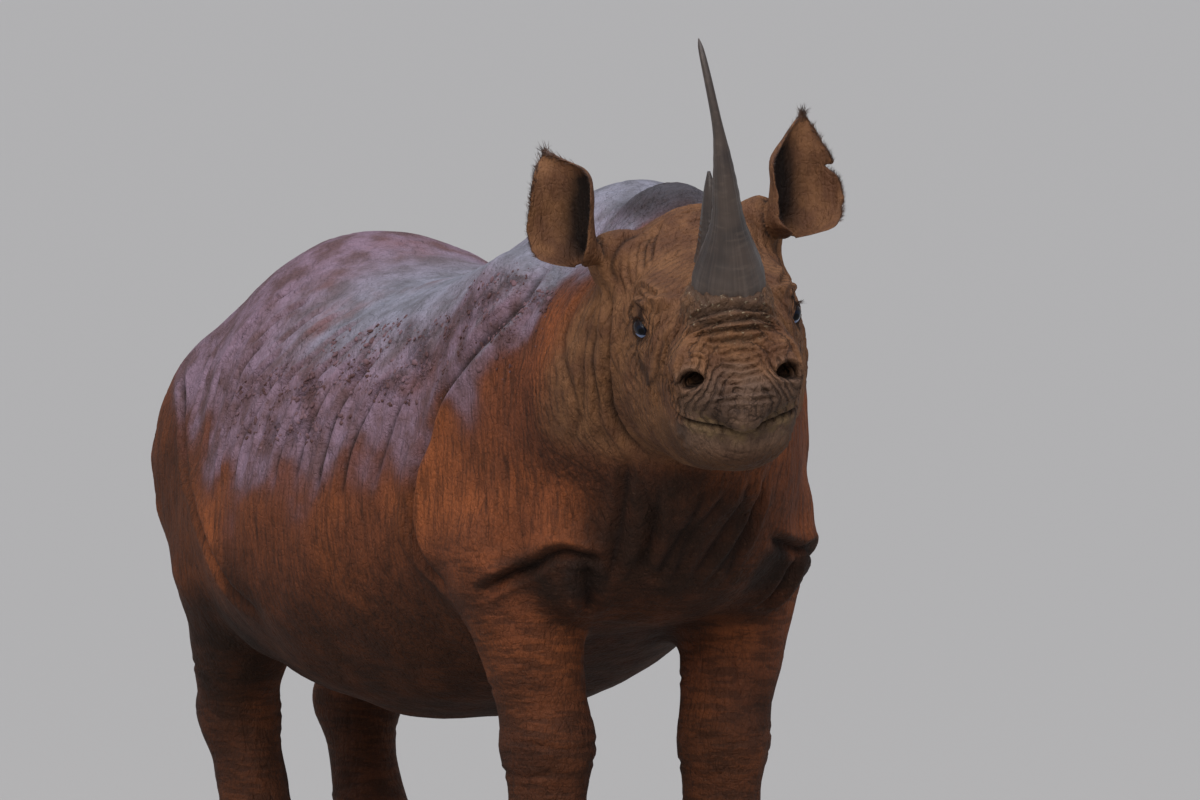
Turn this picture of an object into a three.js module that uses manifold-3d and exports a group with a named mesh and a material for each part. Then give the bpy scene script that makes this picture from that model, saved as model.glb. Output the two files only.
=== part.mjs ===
// A black rhinoceros, standing, with its head raised and turned to its right: a still, life-size model.
// Millimetres, +Z up. The animal faces -Y, its left side is +X, and the floor is z = 0. The finished model's
// origin is on the floor, under the middle of its box; the working frame below has it between the feet.
//
// The flesh is one smooth surface: named masses of muscle and bone that melt into each other (the function
// "body", negative inside). Each part is a ball pushed out from the part's own spine until it meets that
// surface, and flat cuts divide trunk, neck, head, jaw, legs and feet from each other.
import * as THREE from "three";
import { mergeVertices } from "three/addons/utils/BufferGeometryUtils.js";
import Module from "manifold-3d";

const wasm = await Module();
wasm.setup();

// ---------------------------------------------------------------- driving dimensions
const WITHERS = 1562; // top of the shoulder hump
const SADDLE = 1358; // lowest point of the back
const HIPS = 1432; // top of the pelvis
const BELLY = 440; // underside of the belly above the floor
const BRISKET = 652; // underside of the chest between the forelegs
const FORE_Y = -585; // where the forefeet stand
const HIND_Y = 700; // where the nearer hind foot stands
const TRACK = 198; // from the middle of the body to each leg
const HIND_STEP = 200; // how far the left hind foot stands behind the right one
const RUMP_Y = 1045; // back of the haunches
const CHEST_Y = -985; // front of the breast
const EYE_AT = [-190, -1285, 1299]; // middle of the head, halfway between the eyes
const HEAD_TURN = 19.5; // degrees to the animal's right
const HEAD_DROP = 20; // degrees that the face slopes down
const HEAD_TILT = 5.5; // degrees that the crown leans to the animal's right
const EYE_SPREAD = 144; // from the middle of the head to each eye
const EYE_RADIUS = 23;
const HORN_LENGTH = 520; // along the front horn's curve
const GAP = 0.4; // between pieces that touch
const EAR_SEAT = 1.5; // and round the root of an ear
const CENTRE = [0, -232]; // where the middle of the model's box lies in the working frame

// ---------------------------------------------------------------- small tools
const radians = THREE.MathUtils.degToRad;
const clamp = THREE.MathUtils.clamp;
const lerp = THREE.MathUtils.lerp;
const mirrored = ([x, y, z], side) => [x * side, y, z];

/** Smooth minimum of two distances: the two masses melt together within `reach`. */
function melt(a, b, reach) {
  const h = Math.max(reach - Math.abs(a - b), 0) / reach;
  return Math.min(a, b) - (h * h * reach) / 4;
}

/** A smooth curve through (places, values). */
function through(places, values, at) {
  const last = places.length - 1;
  if (at <= places[0]) return values[0];
  if (at >= places[last]) return values[last];
  let i = 0;
  while (at > places[i + 1]) i++;
  const slope = (j) => {
    const a = Math.max(j - 1, 0);
    const b = Math.min(j + 1, last);
    return (values[b] - values[a]) / (places[b] - places[a]);
  };
  const span = places[i + 1] - places[i];
  const t = (at - places[i]) / span;
  const t2 = t * t;
  const t3 = t2 * t;
  return (
    (2 * t3 - 3 * t2 + 1) * values[i] +
    (t3 - 2 * t2 + t) * span * slope(i) +
    (3 * t2 - 2 * t3) * values[i + 1] +
    (t3 - t2) * span * slope(i + 1)
  );
}

/** An egg of muscle or bone: centre, radii. */
function egg([cx, cy, cz], [rx, ry, rz]) {
  const least = Math.min(rx, ry, rz);
  return (x, y, z) => {
    const a = (x - cx) / rx;
    const b = (y - cy) / ry;
    const c = (z - cz) / rz;
    const k0 = Math.hypot(a, b, c);
    const k1 = Math.hypot(a / rx, b / ry, c / rz);
    return k1 < 1e-9 ? -least : (k0 * (k0 - 1)) / k1;
  };
}

/** A tapering length of limb from a to b; `deep` stretches its section fore and aft. */
function limb([ax, ay, az], [bx, by, bz], ra, rb, deep = 1) {
  const [dx, dy, dz] = [bx - ax, by - ay, bz - az];
  const length2 = dx * dx + dy * dy + dz * dz;
  const scale = Math.min(deep, 1);
  return (x, y, z) => {
    const t = clamp(((x - ax) * dx + (y - ay) * dy + (z - az) * dz) / length2, 0, 1);
    const across = x - ax - dx * t;
    const along = (y - ay - dy * t) / deep;
    const up = z - az - dz * t;
    return (Math.hypot(across, along, up) - lerp(ra, rb, t)) * scale;
  };
}

/** A body lofted along one axis. Each station says where it is, its top, its widest level, its bottom and
    its half width. Next is how square the upper and the lower half are. The ends are rounded over `cap`. */
function hull(stations, [fullUp, fullDown], cap) {
  const places = stations.map((s) => s.at);
  const pick = (key) => stations.map((s) => s[key]);
  const [tops, levels, bottoms, halves] = ["top", "level", "bottom", "half"].map(pick);
  const first = places[0];
  const last = places[places.length - 1];
  return (along, across, height) => {
    const level = through(places, levels, along);
    const beyond = Math.max(first - along, along - last);
    const ending = clamp(Math.max((first + cap - along) / cap, (along - last + cap) / cap), 0, 0.999);
    const round = Math.sqrt(1 - ending * ending);
    const upper = height > level;
    const full = upper ? fullUp : fullDown;
    const half = through(places, halves, along) * round;
    const rise = through(places, upper ? tops : bottoms, along) - level;
    const a = Math.abs(across) / half;
    const b = Math.abs((height - level) / (rise * round));
    const g = Math.pow(Math.pow(a, full) + Math.pow(b, full), 1 / full);
    const from = Math.hypot(across, height - level);
    const radial = g < 1e-6 ? -half : Math.max(from * (1 - 1 / g), -half);
    return Math.max(radial, beyond);
  };
}

// ---------------------------------------------------------------- the trunk
const trunkStations = [
  { at: CHEST_Y, top: 1200, level: 980, bottom: 840, half: 150 },
  { at: -870, top: 1370, level: 960, bottom: 735, half: 222 },
  { at: -740, top: 1490, level: 940, bottom: 680, half: 288 },
  { at: -600, top: WITHERS, level: 920, bottom: BRISKET, half: 340 },
  { at: -400, top: 1480, level: 900, bottom: 580, half: 385 },
  { at: -130, top: 1386, level: 860, bottom: 482, half: 458 },
  { at: 90, top: SADDLE, level: 840, bottom: BELLY, half: 495 },
  { at: 300, top: 1384, level: 835, bottom: 452, half: 490 },
  { at: 500, top: HIPS, level: 850, bottom: 510, half: 452 },
  { at: 690, top: 1406, level: 860, bottom: 600, half: 378 },
  { at: 860, top: 1318, level: 880, bottom: 715, half: 298 },
  { at: 980, top: 1215, level: 930, bottom: 800, half: 235 },
  { at: RUMP_Y, top: 1120, level: 970, bottom: 860, half: 180 },
];
const barrel = hull(trunkStations, [2.02, 2.08], 120);
const trunkField = (x, y, z) => barrel(y, x, z);

// ---------------------------------------------------------------- neck, between the withers and the crown
const neckRoot = [-12, -560, 1080];
const neckMiddle = [-76, -830, 1172];
const neckNape = [-135, -1075, 1275];
const neckMasses = [
  limb(neckRoot, neckMiddle, 345, 258, 0.9),
  limb(neckMiddle, neckNape, 258, 196),
  egg([-62, -870, 1400], [120, 205, 156]), // crest of the neck
  egg([-62, -900, 1010], [150, 150, 170]), // throat
];

// ---------------------------------------------------------------- the head, in a frame of its own
// Along: towards the nose. Side: the animal's left. Up: the crown. Its origin is halfway between the eyes.
const turn = radians(HEAD_TURN);
const drop = radians(HEAD_DROP);
const tilt = radians(HEAD_TILT);
const level3 = new THREE.Vector3(-Math.sin(turn), -Math.cos(turn), 0);
const headAlong = level3.clone().multiplyScalar(Math.cos(drop)).setZ(-Math.sin(drop));
const levelSide = new THREE.Vector3(Math.cos(turn), -Math.sin(turn), 0);
const levelUp = new THREE.Vector3().crossVectors(headAlong, levelSide);
const headSide = levelSide.clone().multiplyScalar(Math.cos(tilt)).addScaledVector(levelUp, Math.sin(tilt));
const headUp = new THREE.Vector3().crossVectors(headAlong, headSide);
const headOrigin = new THREE.Vector3(...EYE_AT);

/** A place on the head in the working frame. */
const onHead = (along, side, up) =>
  headOrigin
    .clone()
    .addScaledVector(headAlong, along)
    .addScaledVector(headSide, side)
    .addScaledVector(headUp, up);

const headStations = [
  { at: -300, top: 120, level: -70, bottom: -250, half: 165 },
  { at: -215, top: 158, level: -85, bottom: -305, half: 174 },
  { at: -120, top: 136, level: -90, bottom: -326, half: 176 },
  { at: -30, top: 112, level: -90, bottom: -318, half: 168 },
  { at: 60, top: 106, level: -85, bottom: -292, half: 152 },
  { at: 140, top: 114, level: -75, bottom: -260, half: 134 },
  { at: 210, top: 108, level: -65, bottom: -230, half: 124 },
  { at: 270, top: 66, level: -55, bottom: -190, half: 112 },
  { at: 318, top: 26, level: -55, bottom: -135, half: 84 },
];
const skull = hull(headStations, [2.25, 2.6], 60);
const pair = (place, radii) => [-1, 1].map((side) => egg([place[0], place[1] * side, place[2]], radii));
const headMasses = [
  ...pair([-110, 108, -150], [125, 70, 140]), // cheeks
  ...pair([-22, 106, 54], [88, 40, 36]), // brows
  ...pair([0, 116, -4], [60, 34, 50]), // sockets
  egg([-214, -166, 62], [54, 62, 60]), // root of the right ear
  egg([-214, 118, 104], [54, 48, 62]), // and of the left one, which is held higher
  egg([186, 0, 86], [84, 78, 56]), // seat of the front horn
  egg([-10, 0, 80], [84, 72, 44]), // seat of the rear horn
  ...pair([250, 84, 4], [58, 44, 58]), // wings of the nostrils
  egg([288, 0, -40], [56, 106, 50]), // upper lip
  egg([328, 0, -66], [26, 34, 34]), // pointed tip of the upper lip
  egg([226, 0, -150], [88, 84, 66]), // lower lip and chin
];

function headField(along, side, up) {
  let d = skull(along, side, up);
  for (const mass of headMasses) d = melt(d, mass(along, side, up), 38);
  return d;
}

// ---------------------------------------------------------------- legs
const foreKnee = 425;
const hock = 425;
const footTop = 165;
const footRadius = 108;

function foreLeg(side) {
  const place = (x, y, z) => mirrored([x, y, z], side);
  const upper = [
    egg(place(246, -545, 1080), [120, 205, 330]), // shoulder blade
    egg(place(204, -715, 850), [116, 130, 160]), // point of the shoulder
    egg(place(276, -505, 850), [112, 160, 175]), // triceps and elbow
  ];
  const lower = [
    limb(place(262, -560, 800), place(TRACK + 6, FORE_Y + 5, 470), 128, 84, 1.08),
    egg(place(TRACK, FORE_Y - 8, foreKnee), [84, 88, 86]),
    limb(place(TRACK, FORE_Y, 400), place(TRACK, FORE_Y, footTop), 75, 82, 1.05),
    limb(place(TRACK, FORE_Y, footTop), place(TRACK, FORE_Y - 14, 30), 82, footRadius, 1.06),
  ];
  return { upper, lower };
}

function hindLeg(side, footX, footY) {
  const place = (x, y, z) => mirrored([x, y, z], side);
  const back = footY - HIND_Y;
  const upper = [
    egg(place(230, 725, 950), [166, 236, 280]), // haunch
    egg(place(256, 650 + back * 0.3, 810), [145, 195, 220]), // thigh
    egg(place(282, 470 + back * 0.3, 715), [105, 122, 145]), // stifle
  ];
  const lower = [
    limb(place(262, 650 + back * 0.5, 720), place(footX + 8, footY + 92, 455), 142, 78, 1.1),
    egg(place(footX, footY + 96, hock), [70, 88, 80]),
    limb(place(footX, footY + 82, 410), place(footX - 2, footY + 12, footTop), 69, 75, 1.05),
    limb(place(footX - 2, footY + 12, footTop), place(footX - 2, footY - 6, 30), 75, footRadius - 6, 1.06),
  ];
  return { upper, lower };
}

const legs = [
  { name: "foreleg_right", side: -1, footX: TRACK, footY: FORE_Y, fore: true },
  { name: "foreleg_left", side: 1, footX: TRACK, footY: FORE_Y, fore: true },
  { name: "hindleg_right", side: -1, footX: TRACK, footY: HIND_Y, fore: false },
  { name: "hindleg_left", side: 1, footX: TRACK - 26, footY: HIND_Y + HIND_STEP, fore: false },
].map((leg) => ({ ...leg, ...(leg.fore ? foreLeg(leg.side) : hindLeg(leg.side, leg.footX, leg.footY)) }));

// ---------------------------------------------------------------- tail
const tailLine = [
  [0, RUMP_Y - 85, 1190],
  [0, RUMP_Y + 14, 1085],
  [0, RUMP_Y + 50, 920],
  [0, RUMP_Y + 50, 720],
  [0, RUMP_Y + 44, 560],
];
const tailRadii = [62, 48, 32, 22, 17];
const tailMasses = tailLine
  .slice(1)
  .map((b, i) => limb(tailLine[i], b, tailRadii[i], tailRadii[i + 1]));

// ---------------------------------------------------------------- the whole surface
const LEG_BLEND = 46;
const together = (masses, reach) => (x, y, z) =>
  masses.map((mass) => mass(x, y, z)).reduce((a, b) => melt(a, b, reach));
const neckField = together(neckMasses, 90);

/** The trunk, neck and head with the upper parts of the legs; `whole` adds the rest of the legs. */
function flesh(x, y, z, whole) {
  let d = trunkField(x, y, z);
  if (y < -300) d = melt(d, neckField(x, y, z), 90);
  for (const leg of legs) {
    if (leg.fore ? y > 0 : y < 100) continue;
    const masses = whole ? [...leg.upper, ...leg.lower] : leg.upper;
    d = melt(d, together(masses, LEG_BLEND)(x, y, z), 60);
  }
  if (y < -700) {
    const at = new THREE.Vector3(x, y, z).sub(headOrigin);
    d = melt(d, headField(at.dot(headAlong), at.dot(headSide), at.dot(headUp)), 40);
  }
  return d;
}
const tailField = together(tailMasses, 20);
const body = (x, y, z) => flesh(x, y, z, true);
const core = (x, y, z) => flesh(x, y, z, false);

/** The flesh that belongs to one leg: everything close to the leg's own masses. */
const legFlesh = (leg, grow) => {
  const own = together([...leg.upper, ...leg.lower], LEG_BLEND);
  return (x, y, z) => Math.max(body(x, y, z), own(x, y, z) - 24) - grow;
};

// ---------------------------------------------------------------- solids
/** A closed three.js geometry as a manifold-3d solid. */
function solidOf(geometry) {
  const bare = geometry.clone();
  bare.deleteAttribute("normal");
  bare.deleteAttribute("uv");
  const merged = mergeVertices(bare, 1e-3);
  return new wasm.Manifold(
    new wasm.Mesh({
      numProp: 3,
      vertProperties: merged.attributes.position.array,
      triVerts: new Uint32Array(merged.index.array),
    }),
  );
}

/** How far the surface lies from a place, going one way. */
function reachOf(field, from, toward, limit) {
  const value = (t) => field(...[0, 1, 2].map((i) => from[i] + toward[i] * t));
  const stride = 14;
  let inside = 0;
  let outside = stride;
  while (value(outside) < 0) {
    inside = outside;
    outside += stride;
    if (outside > limit) return limit;
  }
  for (let i = 0; i < 12; i++) {
    const middle = (inside + outside) / 2;
    if (value(middle) < 0) inside = middle;
    else outside = middle;
  }
  return outside;
}

/** One stretch of the body: a ball whose rings run along a spine and whose points go out to the surface.
    `end` rings at each end turn over to close it, `limit` is the furthest that a point goes. */
function stretch({ field = body, spine, around, rings, end, limit, facing = [0, 0, 1] }) {
  const curve = new THREE.CatmullRomCurve3(spine.map((p) => new THREE.Vector3(...p)));
  const ball = new THREE.SphereGeometry(1, around, rings);
  const place = ball.attributes.position;
  const up = new THREE.Vector3(...facing);
  for (let i = 0; i < place.count; i++) {
    const [bx, by, bz] = [place.getX(i), place.getY(i), place.getZ(i)];
    const ring = (Math.acos(clamp(-by, -1, 1)) / Math.PI) * rings;
    const t = clamp((ring - end) / (rings - 2 * end), 0, 1);
    const from = curve.getPointAt(t);
    const axis = curve.getTangentAt(t);
    const across = new THREE.Vector3().crossVectors(axis, up).normalize();
    const outward = new THREE.Vector3().crossVectors(across, axis);
    const lean = (Math.min(ring, rings - ring, end) / end) * (Math.PI / 2);
    const spoke = Math.hypot(bx, bz) || 1;
    const toward = new THREE.Vector3()
      .addScaledVector(across, (bx / spoke) * Math.sin(lean))
      .addScaledVector(outward, (bz / spoke) * Math.sin(lean))
      .addScaledVector(axis, ring < rings / 2 ? -Math.cos(lean) : Math.cos(lean));
    const reach = reachOf(field, from.toArray(), toward.toArray(), limit);
    from.addScaledVector(toward, reach);
    place.setXYZ(i, from.x, from.y, from.z);
  }
  return solidOf(ball);
}

/** A block that holds everything on one side of a plane, up to `size` away from it. */
function sideOf(point, normal, size, shift = 0) {
  const block = new THREE.BoxGeometry(size, size, size);
  const n = new THREE.Vector3(...normal).normalize();
  const q = new THREE.Quaternion().setFromUnitVectors(new THREE.Vector3(0, 0, 1), n);
  block.applyQuaternion(q);
  const centre = new THREE.Vector3(...point).addScaledVector(n, size / 2 + shift);
  block.translate(centre.x, centre.y, centre.z);
  return solidOf(block);
}

// ---------------------------------------------------------------- horns
const hornFront = {
  root: [146, 60], // along and up
  lean: [14, 12, 5, -8, -21, -30], // degrees towards the nose, from root to tip
  sway: [4, 4, 5, 2, -3, -14, -26], // millimetres to the animal's left
  at: [0, 0.12, 0.18, 0.24, 0.3, 0.37, 0.43, 0.5, 0.62, 0.68, 0.74, 0.9, 0.97, 1],
  radii: [72, 72, 70, 61, 48.5, 35.5, 29, 25, 16.5, 12, 9.6, 7.3, 5.2, 1.2],
  deep: 1.1,
  length: HORN_LENGTH + 78, // the first stretch is sunk in the nose
};
const hornRear = {
  root: [-8, 70],
  lean: [-2, -3, -6, -10],
  sway: [0, 0, 0, 0],
  at: [0, 0.12, 0.3, 0.6, 0.85, 1],
  radii: [50, 47, 34, 22, 12, 3],
  deep: 1.35,
  length: 235,
};

/** A curve through values that stand at even steps from 0 to 1. */
const evenly = (values, t) => through(values.map((_, i) => i / (values.length - 1)), values, t);

/** A horn: a tapering round bar whose centre line leans step by step away from the head's own "up". */
function horn({ root, lean, sway, at, radii, deep, length }, grow = 0) {
  const steps = 12;
  const stride = (length + 2 * grow) / steps;
  const angleAt = (t) => radians(evenly(lean, t));
  const centres = [[root[0] - Math.sin(angleAt(0)) * grow, root[1] - Math.cos(angleAt(0)) * grow]];
  for (let i = 1; i <= steps; i++) {
    const a = angleAt((i - 0.5) / steps);
    const [along, up] = centres[i - 1];
    centres.push([along + Math.sin(a) * stride, up + Math.cos(a) * stride]);
  }
  const bar = new THREE.CylinderGeometry(1, 1, 1, 10, steps);
  const place = bar.attributes.position;
  for (let i = 0; i < place.count; i++) {
    const t = place.getY(i) + 0.5;
    const [along, up] = centres[Math.round(t * steps)];
    const a = angleAt(t);
    const radius = through(at, radii, t) + grow;
    const ahead = place.getZ(i) * radius * deep;
    const side = place.getX(i) * radius + evenly(sway, t);
    const p = onHead(along + ahead * Math.cos(a), side, up - ahead * Math.sin(a));
    place.setXYZ(i, p.x, p.y, p.z);
  }
  return solidOf(bar);
}

// ---------------------------------------------------------------- nostrils and eyes
/** The hollow of a nostril. */
function nostril(side) {
  const hollow = new THREE.SphereGeometry(1, 8, 6);
  hollow.scale(30, 17, 19);
  hollow.applyMatrix4(new THREE.Matrix4().makeBasis(headAlong, headSide, headUp));
  const p = onHead(288, 98 * side, 6);
  hollow.translate(p.x, p.y, p.z);
  return solidOf(hollow);
}

function eyeball(side, grow = 0) {
  const ball = new THREE.SphereGeometry(EYE_RADIUS + grow, 10, 7);
  const p = onHead(0, EYE_SPREAD * side, 0);
  ball.translate(p.x, p.y, p.z);
  return solidOf(ball);
}

// ---------------------------------------------------------------- ears
// An ear is a thin sheet rolled about a middle line of its own: a tube at the root, an open cup higher up.
const earLevels = [0, 0.1, 0.2, 0.32, 0.5, 0.7, 0.85, 0.95, 1];
const earRoll = [160, 140, 118, 98, 84, 74, 62, 50, 40]; // how far round each half goes, in degrees
const earThick = [10, 8, 7, 6, 5, 4.5, 4, 3.5, 3];
const EAR_BACK = 14; // degrees backward
const RIM_DIP = 26; // how far the rims hang below the middle line, halfway up
// "splay" and "open" are degrees outward: of the ear's long axis, and of the way that the cup faces.
// At each level the cup has a radius, and its middle stands so many millimetres outward of the axis.
const ears = {
  right: {
    side: -1,
    root: [-206, -212, 60],
    length: 224,
    splay: 4,
    open: 40,
    radius: [22, 42, 58, 67, 74, 76, 71, 40, 13],
    outward: [0, 8, 20, 26, 28, 20, 24, 58, 74],
  },
  left: {
    side: 1,
    root: [-206, 148, 80],
    length: 240,
    splay: 5.5,
    open: 26,
    radius: [22, 48, 68, 77, 80, 75, 44, 22, 8],
    outward: [0, 10, 18, 26, 33, 29, 45, 56, 61],
  },
};
/** A place in an ear's sheet: at a level, so far across (one rim is -1, the other 1) and so far through. */
function inEar({ side, root, length, splay, open, radius, outward }, level, across, through, grow) {
  const axis = new THREE.Vector3()
    .addScaledVector(headUp, Math.cos(radians(splay)))
    .addScaledVector(headSide, Math.sin(radians(splay)) * side)
    .addScaledVector(headAlong, -Math.tan(radians(EAR_BACK)))
    .normalize();
  const facing = new THREE.Vector3()
    .addScaledVector(headAlong, Math.cos(radians(open)))
    .addScaledVector(headSide, Math.sin(radians(open)) * side);
  facing.addScaledVector(axis, -facing.dot(axis)).normalize();
  const toLeft = new THREE.Vector3().crossVectors(axis, facing);
  const edge = across * across;
  const angle = across * (radians(earRoll[level]) + grow / radius[level]);
  const r = radius[level] - through * (earThick[level] * (1 - 0.45 * edge) + grow);
  const dip = RIM_DIP * edge * Math.sin(Math.PI * Math.min(earLevels[level] * 1.15, 1));
  return onHead(...root)
    .addScaledVector(axis, lerp(-grow / 3, length + grow, earLevels[level]) - dip)
    .addScaledVector(toLeft, r * Math.sin(angle) + outward[level] * side)
    .addScaledVector(facing, radius[level] - r * Math.cos(angle));
}

function ear(shape, grow = 0) {
  const sheet = new THREE.BoxGeometry(2, 1, 2, 8, earLevels.length - 1, 1);
  const place = sheet.attributes.position;
  for (let i = 0; i < place.count; i++) {
    const level = Math.round((place.getY(i) + 0.5) * (earLevels.length - 1));
    const p = inEar(shape, level, place.getX(i), place.getZ(i), grow);
    place.setXYZ(i, p.x, p.y, p.z);
  }
  return solidOf(sheet);
}

/** The old tear in the outer rim of the left ear, a little over halfway up. */
function tear() {
  const bite = new THREE.SphereGeometry(1, 8, 6);
  bite.scale(26, 26, 13);
  const rim = inEar(ears.left, 4, 1, 0, 0).lerp(inEar(ears.left, 5, 1, 0, 0), 0.6);
  bite.translate(rim.x, rim.y, rim.z);
  return solidOf(bite);
}

// ---------------------------------------------------------------- nails
// Each foot has three: degrees from straight ahead, and half the width.
const nails = [[-52, 34], [0, 42], [52, 34]];
const NAIL_UP = 44; // height of a nail's middle
const NAIL_LEAN = 18; // degrees that it leans back

/** A toenail: a broad egg let into the front of the foot. */
function nail([footX, footY], angle, half, grow = 0) {
  const shield = new THREE.SphereGeometry(1, 7, 4);
  const turned = radians(angle);
  shield.scale(half + grow, 17 + grow, 40 + grow);
  shield.rotateX(radians(-NAIL_LEAN));
  shield.rotateZ(turned);
  const reach = footRadius - 8;
  shield.translate(footX + Math.sin(turned) * reach, footY - Math.cos(turned) * reach, NAIL_UP);
  return solidOf(shield);
}

// ---------------------------------------------------------------- materials
const finish = (color, roughness) => new THREE.MeshStandardMaterial({ color, roughness, metalness: 0 });
const materials = {
  hide: finish(0x7d4630, 0.75),
  ear: finish(0x8a5233, 0.75),
  horn: finish(0x4b403b, 0.5),
  eye: finish(0x1b1412, 0.15),
  nail: finish(0x5c4a3d, 0.6),
  hair: finish(0x2b211c, 0.7),
};

const model = new THREE.Group();

/** The largest of the bodies that a cut leaves. */
function mainBody(solid) {
  const bodies = solid.decompose();
  return bodies.reduce((best, one) => (one.volume() > best.volume() ? one : best));
}

function addPart(name, solid, material) {
  const { vertProperties, numProp, numVert, triVerts } = mainBody(solid).getMesh();
  const positions = new Float32Array(numVert * 3);
  for (let i = 0; i < numVert; i++) {
    for (let k = 0; k < 3; k++) positions[i * 3 + k] = vertProperties[i * numProp + k];
  }
  const geometry = new THREE.BufferGeometry();
  geometry.setAttribute("position", new THREE.BufferAttribute(positions, 3));
  geometry.setIndex(new THREE.BufferAttribute(triVerts, 1));
  geometry.translate(-CENTRE[0], -CENTRE[1], 0);
  geometry.computeVertexNormals();
  const mesh = new THREE.Mesh(geometry, material);
  mesh.name = name;
  model.add(mesh);
}

// ---------------------------------------------------------------- where the pieces part
// A region is what lies on the positive side of all its planes: [point, normal].
const region = (planes, shift) =>
  planes.map(([point, normal]) => sideOf(point, normal, 3000, shift)).reduce((a, b) => a.intersect(b));
const keep = (solid, planes, shift = GAP / 2) => solid.intersect(region(planes, shift));
const without = (solid, planes) => solid.subtract(region(planes, -GAP / 2));

const floorPlane = [[[0, 0, 0], [0, 0, 1]]];
const neckPlane = [[[0, -850, 1200], [0, -0.92, 0.4]]];
const napePlane = [[onHead(-198, 0, 0).toArray(), headAlong.clone().addScaledVector(headUp, 0.4).toArray()]];
const jawPlanes = [
  [onHead(135, 0, -74).toArray(), headUp.clone().negate().addScaledVector(headAlong, -0.08).toArray()],
  [onHead(135, 0, -74).toArray(), headUp.clone().negate().addScaledVector(headAlong, 0.42).toArray()],
];
const tailPlane = [[[0, RUMP_Y - 75, 1180], [0, 0.8, -0.6]]];
const tuftPlane = [[[0, 0, 600], [0, 0, -1]]];

const legTop = ({ fore, side }) => [
  fore ? [[side * 90, 0, 660], [side * 0.42, 0, -1]] : [[side * 90, 0, 700], [side * 0.42, 0, -1]],
];
const footPlane = [[[0, 0, 185], [0, 0, -1]]];

// ---------------------------------------------------------------- the pieces
/** One leg from the shoulder or haunch down, before its top and sole are cut. */
function legSolid(leg, grow = 0) {
  const { footX, footY } = leg;
  const back = leg.fore ? 0 : footY - HIND_Y;
  const spine = leg.fore
    ? [[250, -560, 860], [238, -560, 740], [footX + 6, footY, 470], [footX, footY, 400], [footX, footY, 70]]
    : [
        [252, 640 + back * 0.4, 850],
        [250, 660 + back * 0.5, 720],
        [footX + 8, footY + 92, 455],
        [footX, footY + 80, 390],
        [footX, footY + 4, 70],
      ];
  return stretch({
    field: legFlesh(leg, grow),
    spine: spine.map((p) => mirrored(p, leg.side)),
    around: 12,
    rings: 19,
    end: 3,
    limit: 400,
    facing: [0, 1, 0],
  });
}

function tailSolid(grow = 0) {
  return stretch({
    field: (x, y, z) => tailField(x, y, z) - grow,
    spine: tailLine.map(([x, y, z], i) => (i === 4 ? [x, y, z + 12] : [x, y, z])),
    around: 8,
    rings: 13,
    end: 2,
    limit: 120,
    facing: [1, 0, 0],
  });
}

let trunk = stretch({
  field: core,
  spine: [[-10, -895, 1010], [0, -560, 1000], [0, 0, 920], [0, 500, 930], [0, 900, 1000]],
  around: 28,
  rings: 28,
  end: 4,
  limit: 640,
});
trunk = without(trunk, neckPlane);
trunk = trunk.subtract(tailSolid(GAP).intersect(region(tailPlane, -GAP / 2)));
for (const leg of legs) {
  trunk = trunk.subtract(legSolid(leg, GAP).intersect(region(legTop(leg), -GAP / 2)));
}
addPart("trunk", trunk, materials.hide);

let neck = stretch({
  spine: [[0, -690, 1110], [-40, -860, 1180], [-118, -1060, 1270], [-175, -1230, 1310]],
  around: 24,
  rings: 14,
  end: 3,
  limit: 420,
});
neck = without(keep(neck, neckPlane), napePlane);

let head = stretch({
  spine: [-280, -90, 80, 250].map((along) => onHead(along, 0, -40 - along * 0.05).toArray()),
  around: 25,
  rings: 29,
  end: 4,
  limit: 330,
});
head = keep(head, napePlane);
for (const one of Object.values(ears)) {
  const seat = ear(one, EAR_SEAT);
  head = head.subtract(seat).subtract(eyeball(one.side, GAP)).subtract(nostril(one.side));
  neck = neck.subtract(seat);
}
head = head.subtract(horn(hornFront, GAP)).subtract(horn(hornRear, GAP));
addPart("neck", neck, materials.hide);
addPart("head", without(head, jawPlanes), materials.hide);
addPart("lower_jaw", keep(head, jawPlanes), materials.hide);
addPart("horn_front", horn(hornFront), materials.horn);
addPart("horn_rear", horn(hornRear), materials.horn);
for (const [name, one] of Object.entries(ears)) {
  addPart(`ear_${name}`, name === "left" ? ear(one).subtract(tear()) : ear(one), materials.ear);
  addPart(`eye_${name}`, eyeball(one.side), materials.eye);
}

for (const leg of legs) {
  const solid = keep(keep(legSolid(leg), legTop(leg)), floorPlane, 0);
  const middle = [(leg.footX - 1) * leg.side, leg.footY - (leg.fore ? 12 : 4)];
  let foot = keep(solid, footPlane);
  nails.forEach(([angle, half], i) => {
    foot = foot.subtract(nail(middle, angle, half, GAP));
    addPart(`${leg.name}_nail_${i + 1}`, nail(middle, angle, half), materials.nail);
  });
  addPart(leg.name, without(solid, footPlane), materials.hide);
  addPart(leg.name.replace("leg", "foot"), foot, materials.hide);
}

addPart("tail", without(keep(tailSolid(), tailPlane), tuftPlane), materials.hide);

const tuft = new THREE.SphereGeometry(1, 8, 8);
tuft.scale(34, 24, 110);
tuft.translate(0, RUMP_Y + 52, 520);
addPart("tail_tuft", keep(solidOf(tuft), tuftPlane), materials.hair);

export default model;
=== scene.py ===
"""A black rhinoceros: a still, life-size model, standing with its head raised and turned to its right.

One skin covers the flesh. Its surface is a function (flesh) of named masses of bone and muscle that melt
into each other; it is meshed, folded, wrinkled and thinned here. Eyes, horns, nails and hair are separate."""

from functools import partial, reduce
from types import SimpleNamespace

import bmesh
import bpy
import numpy as np
from mathutils import Matrix, Vector


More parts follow.
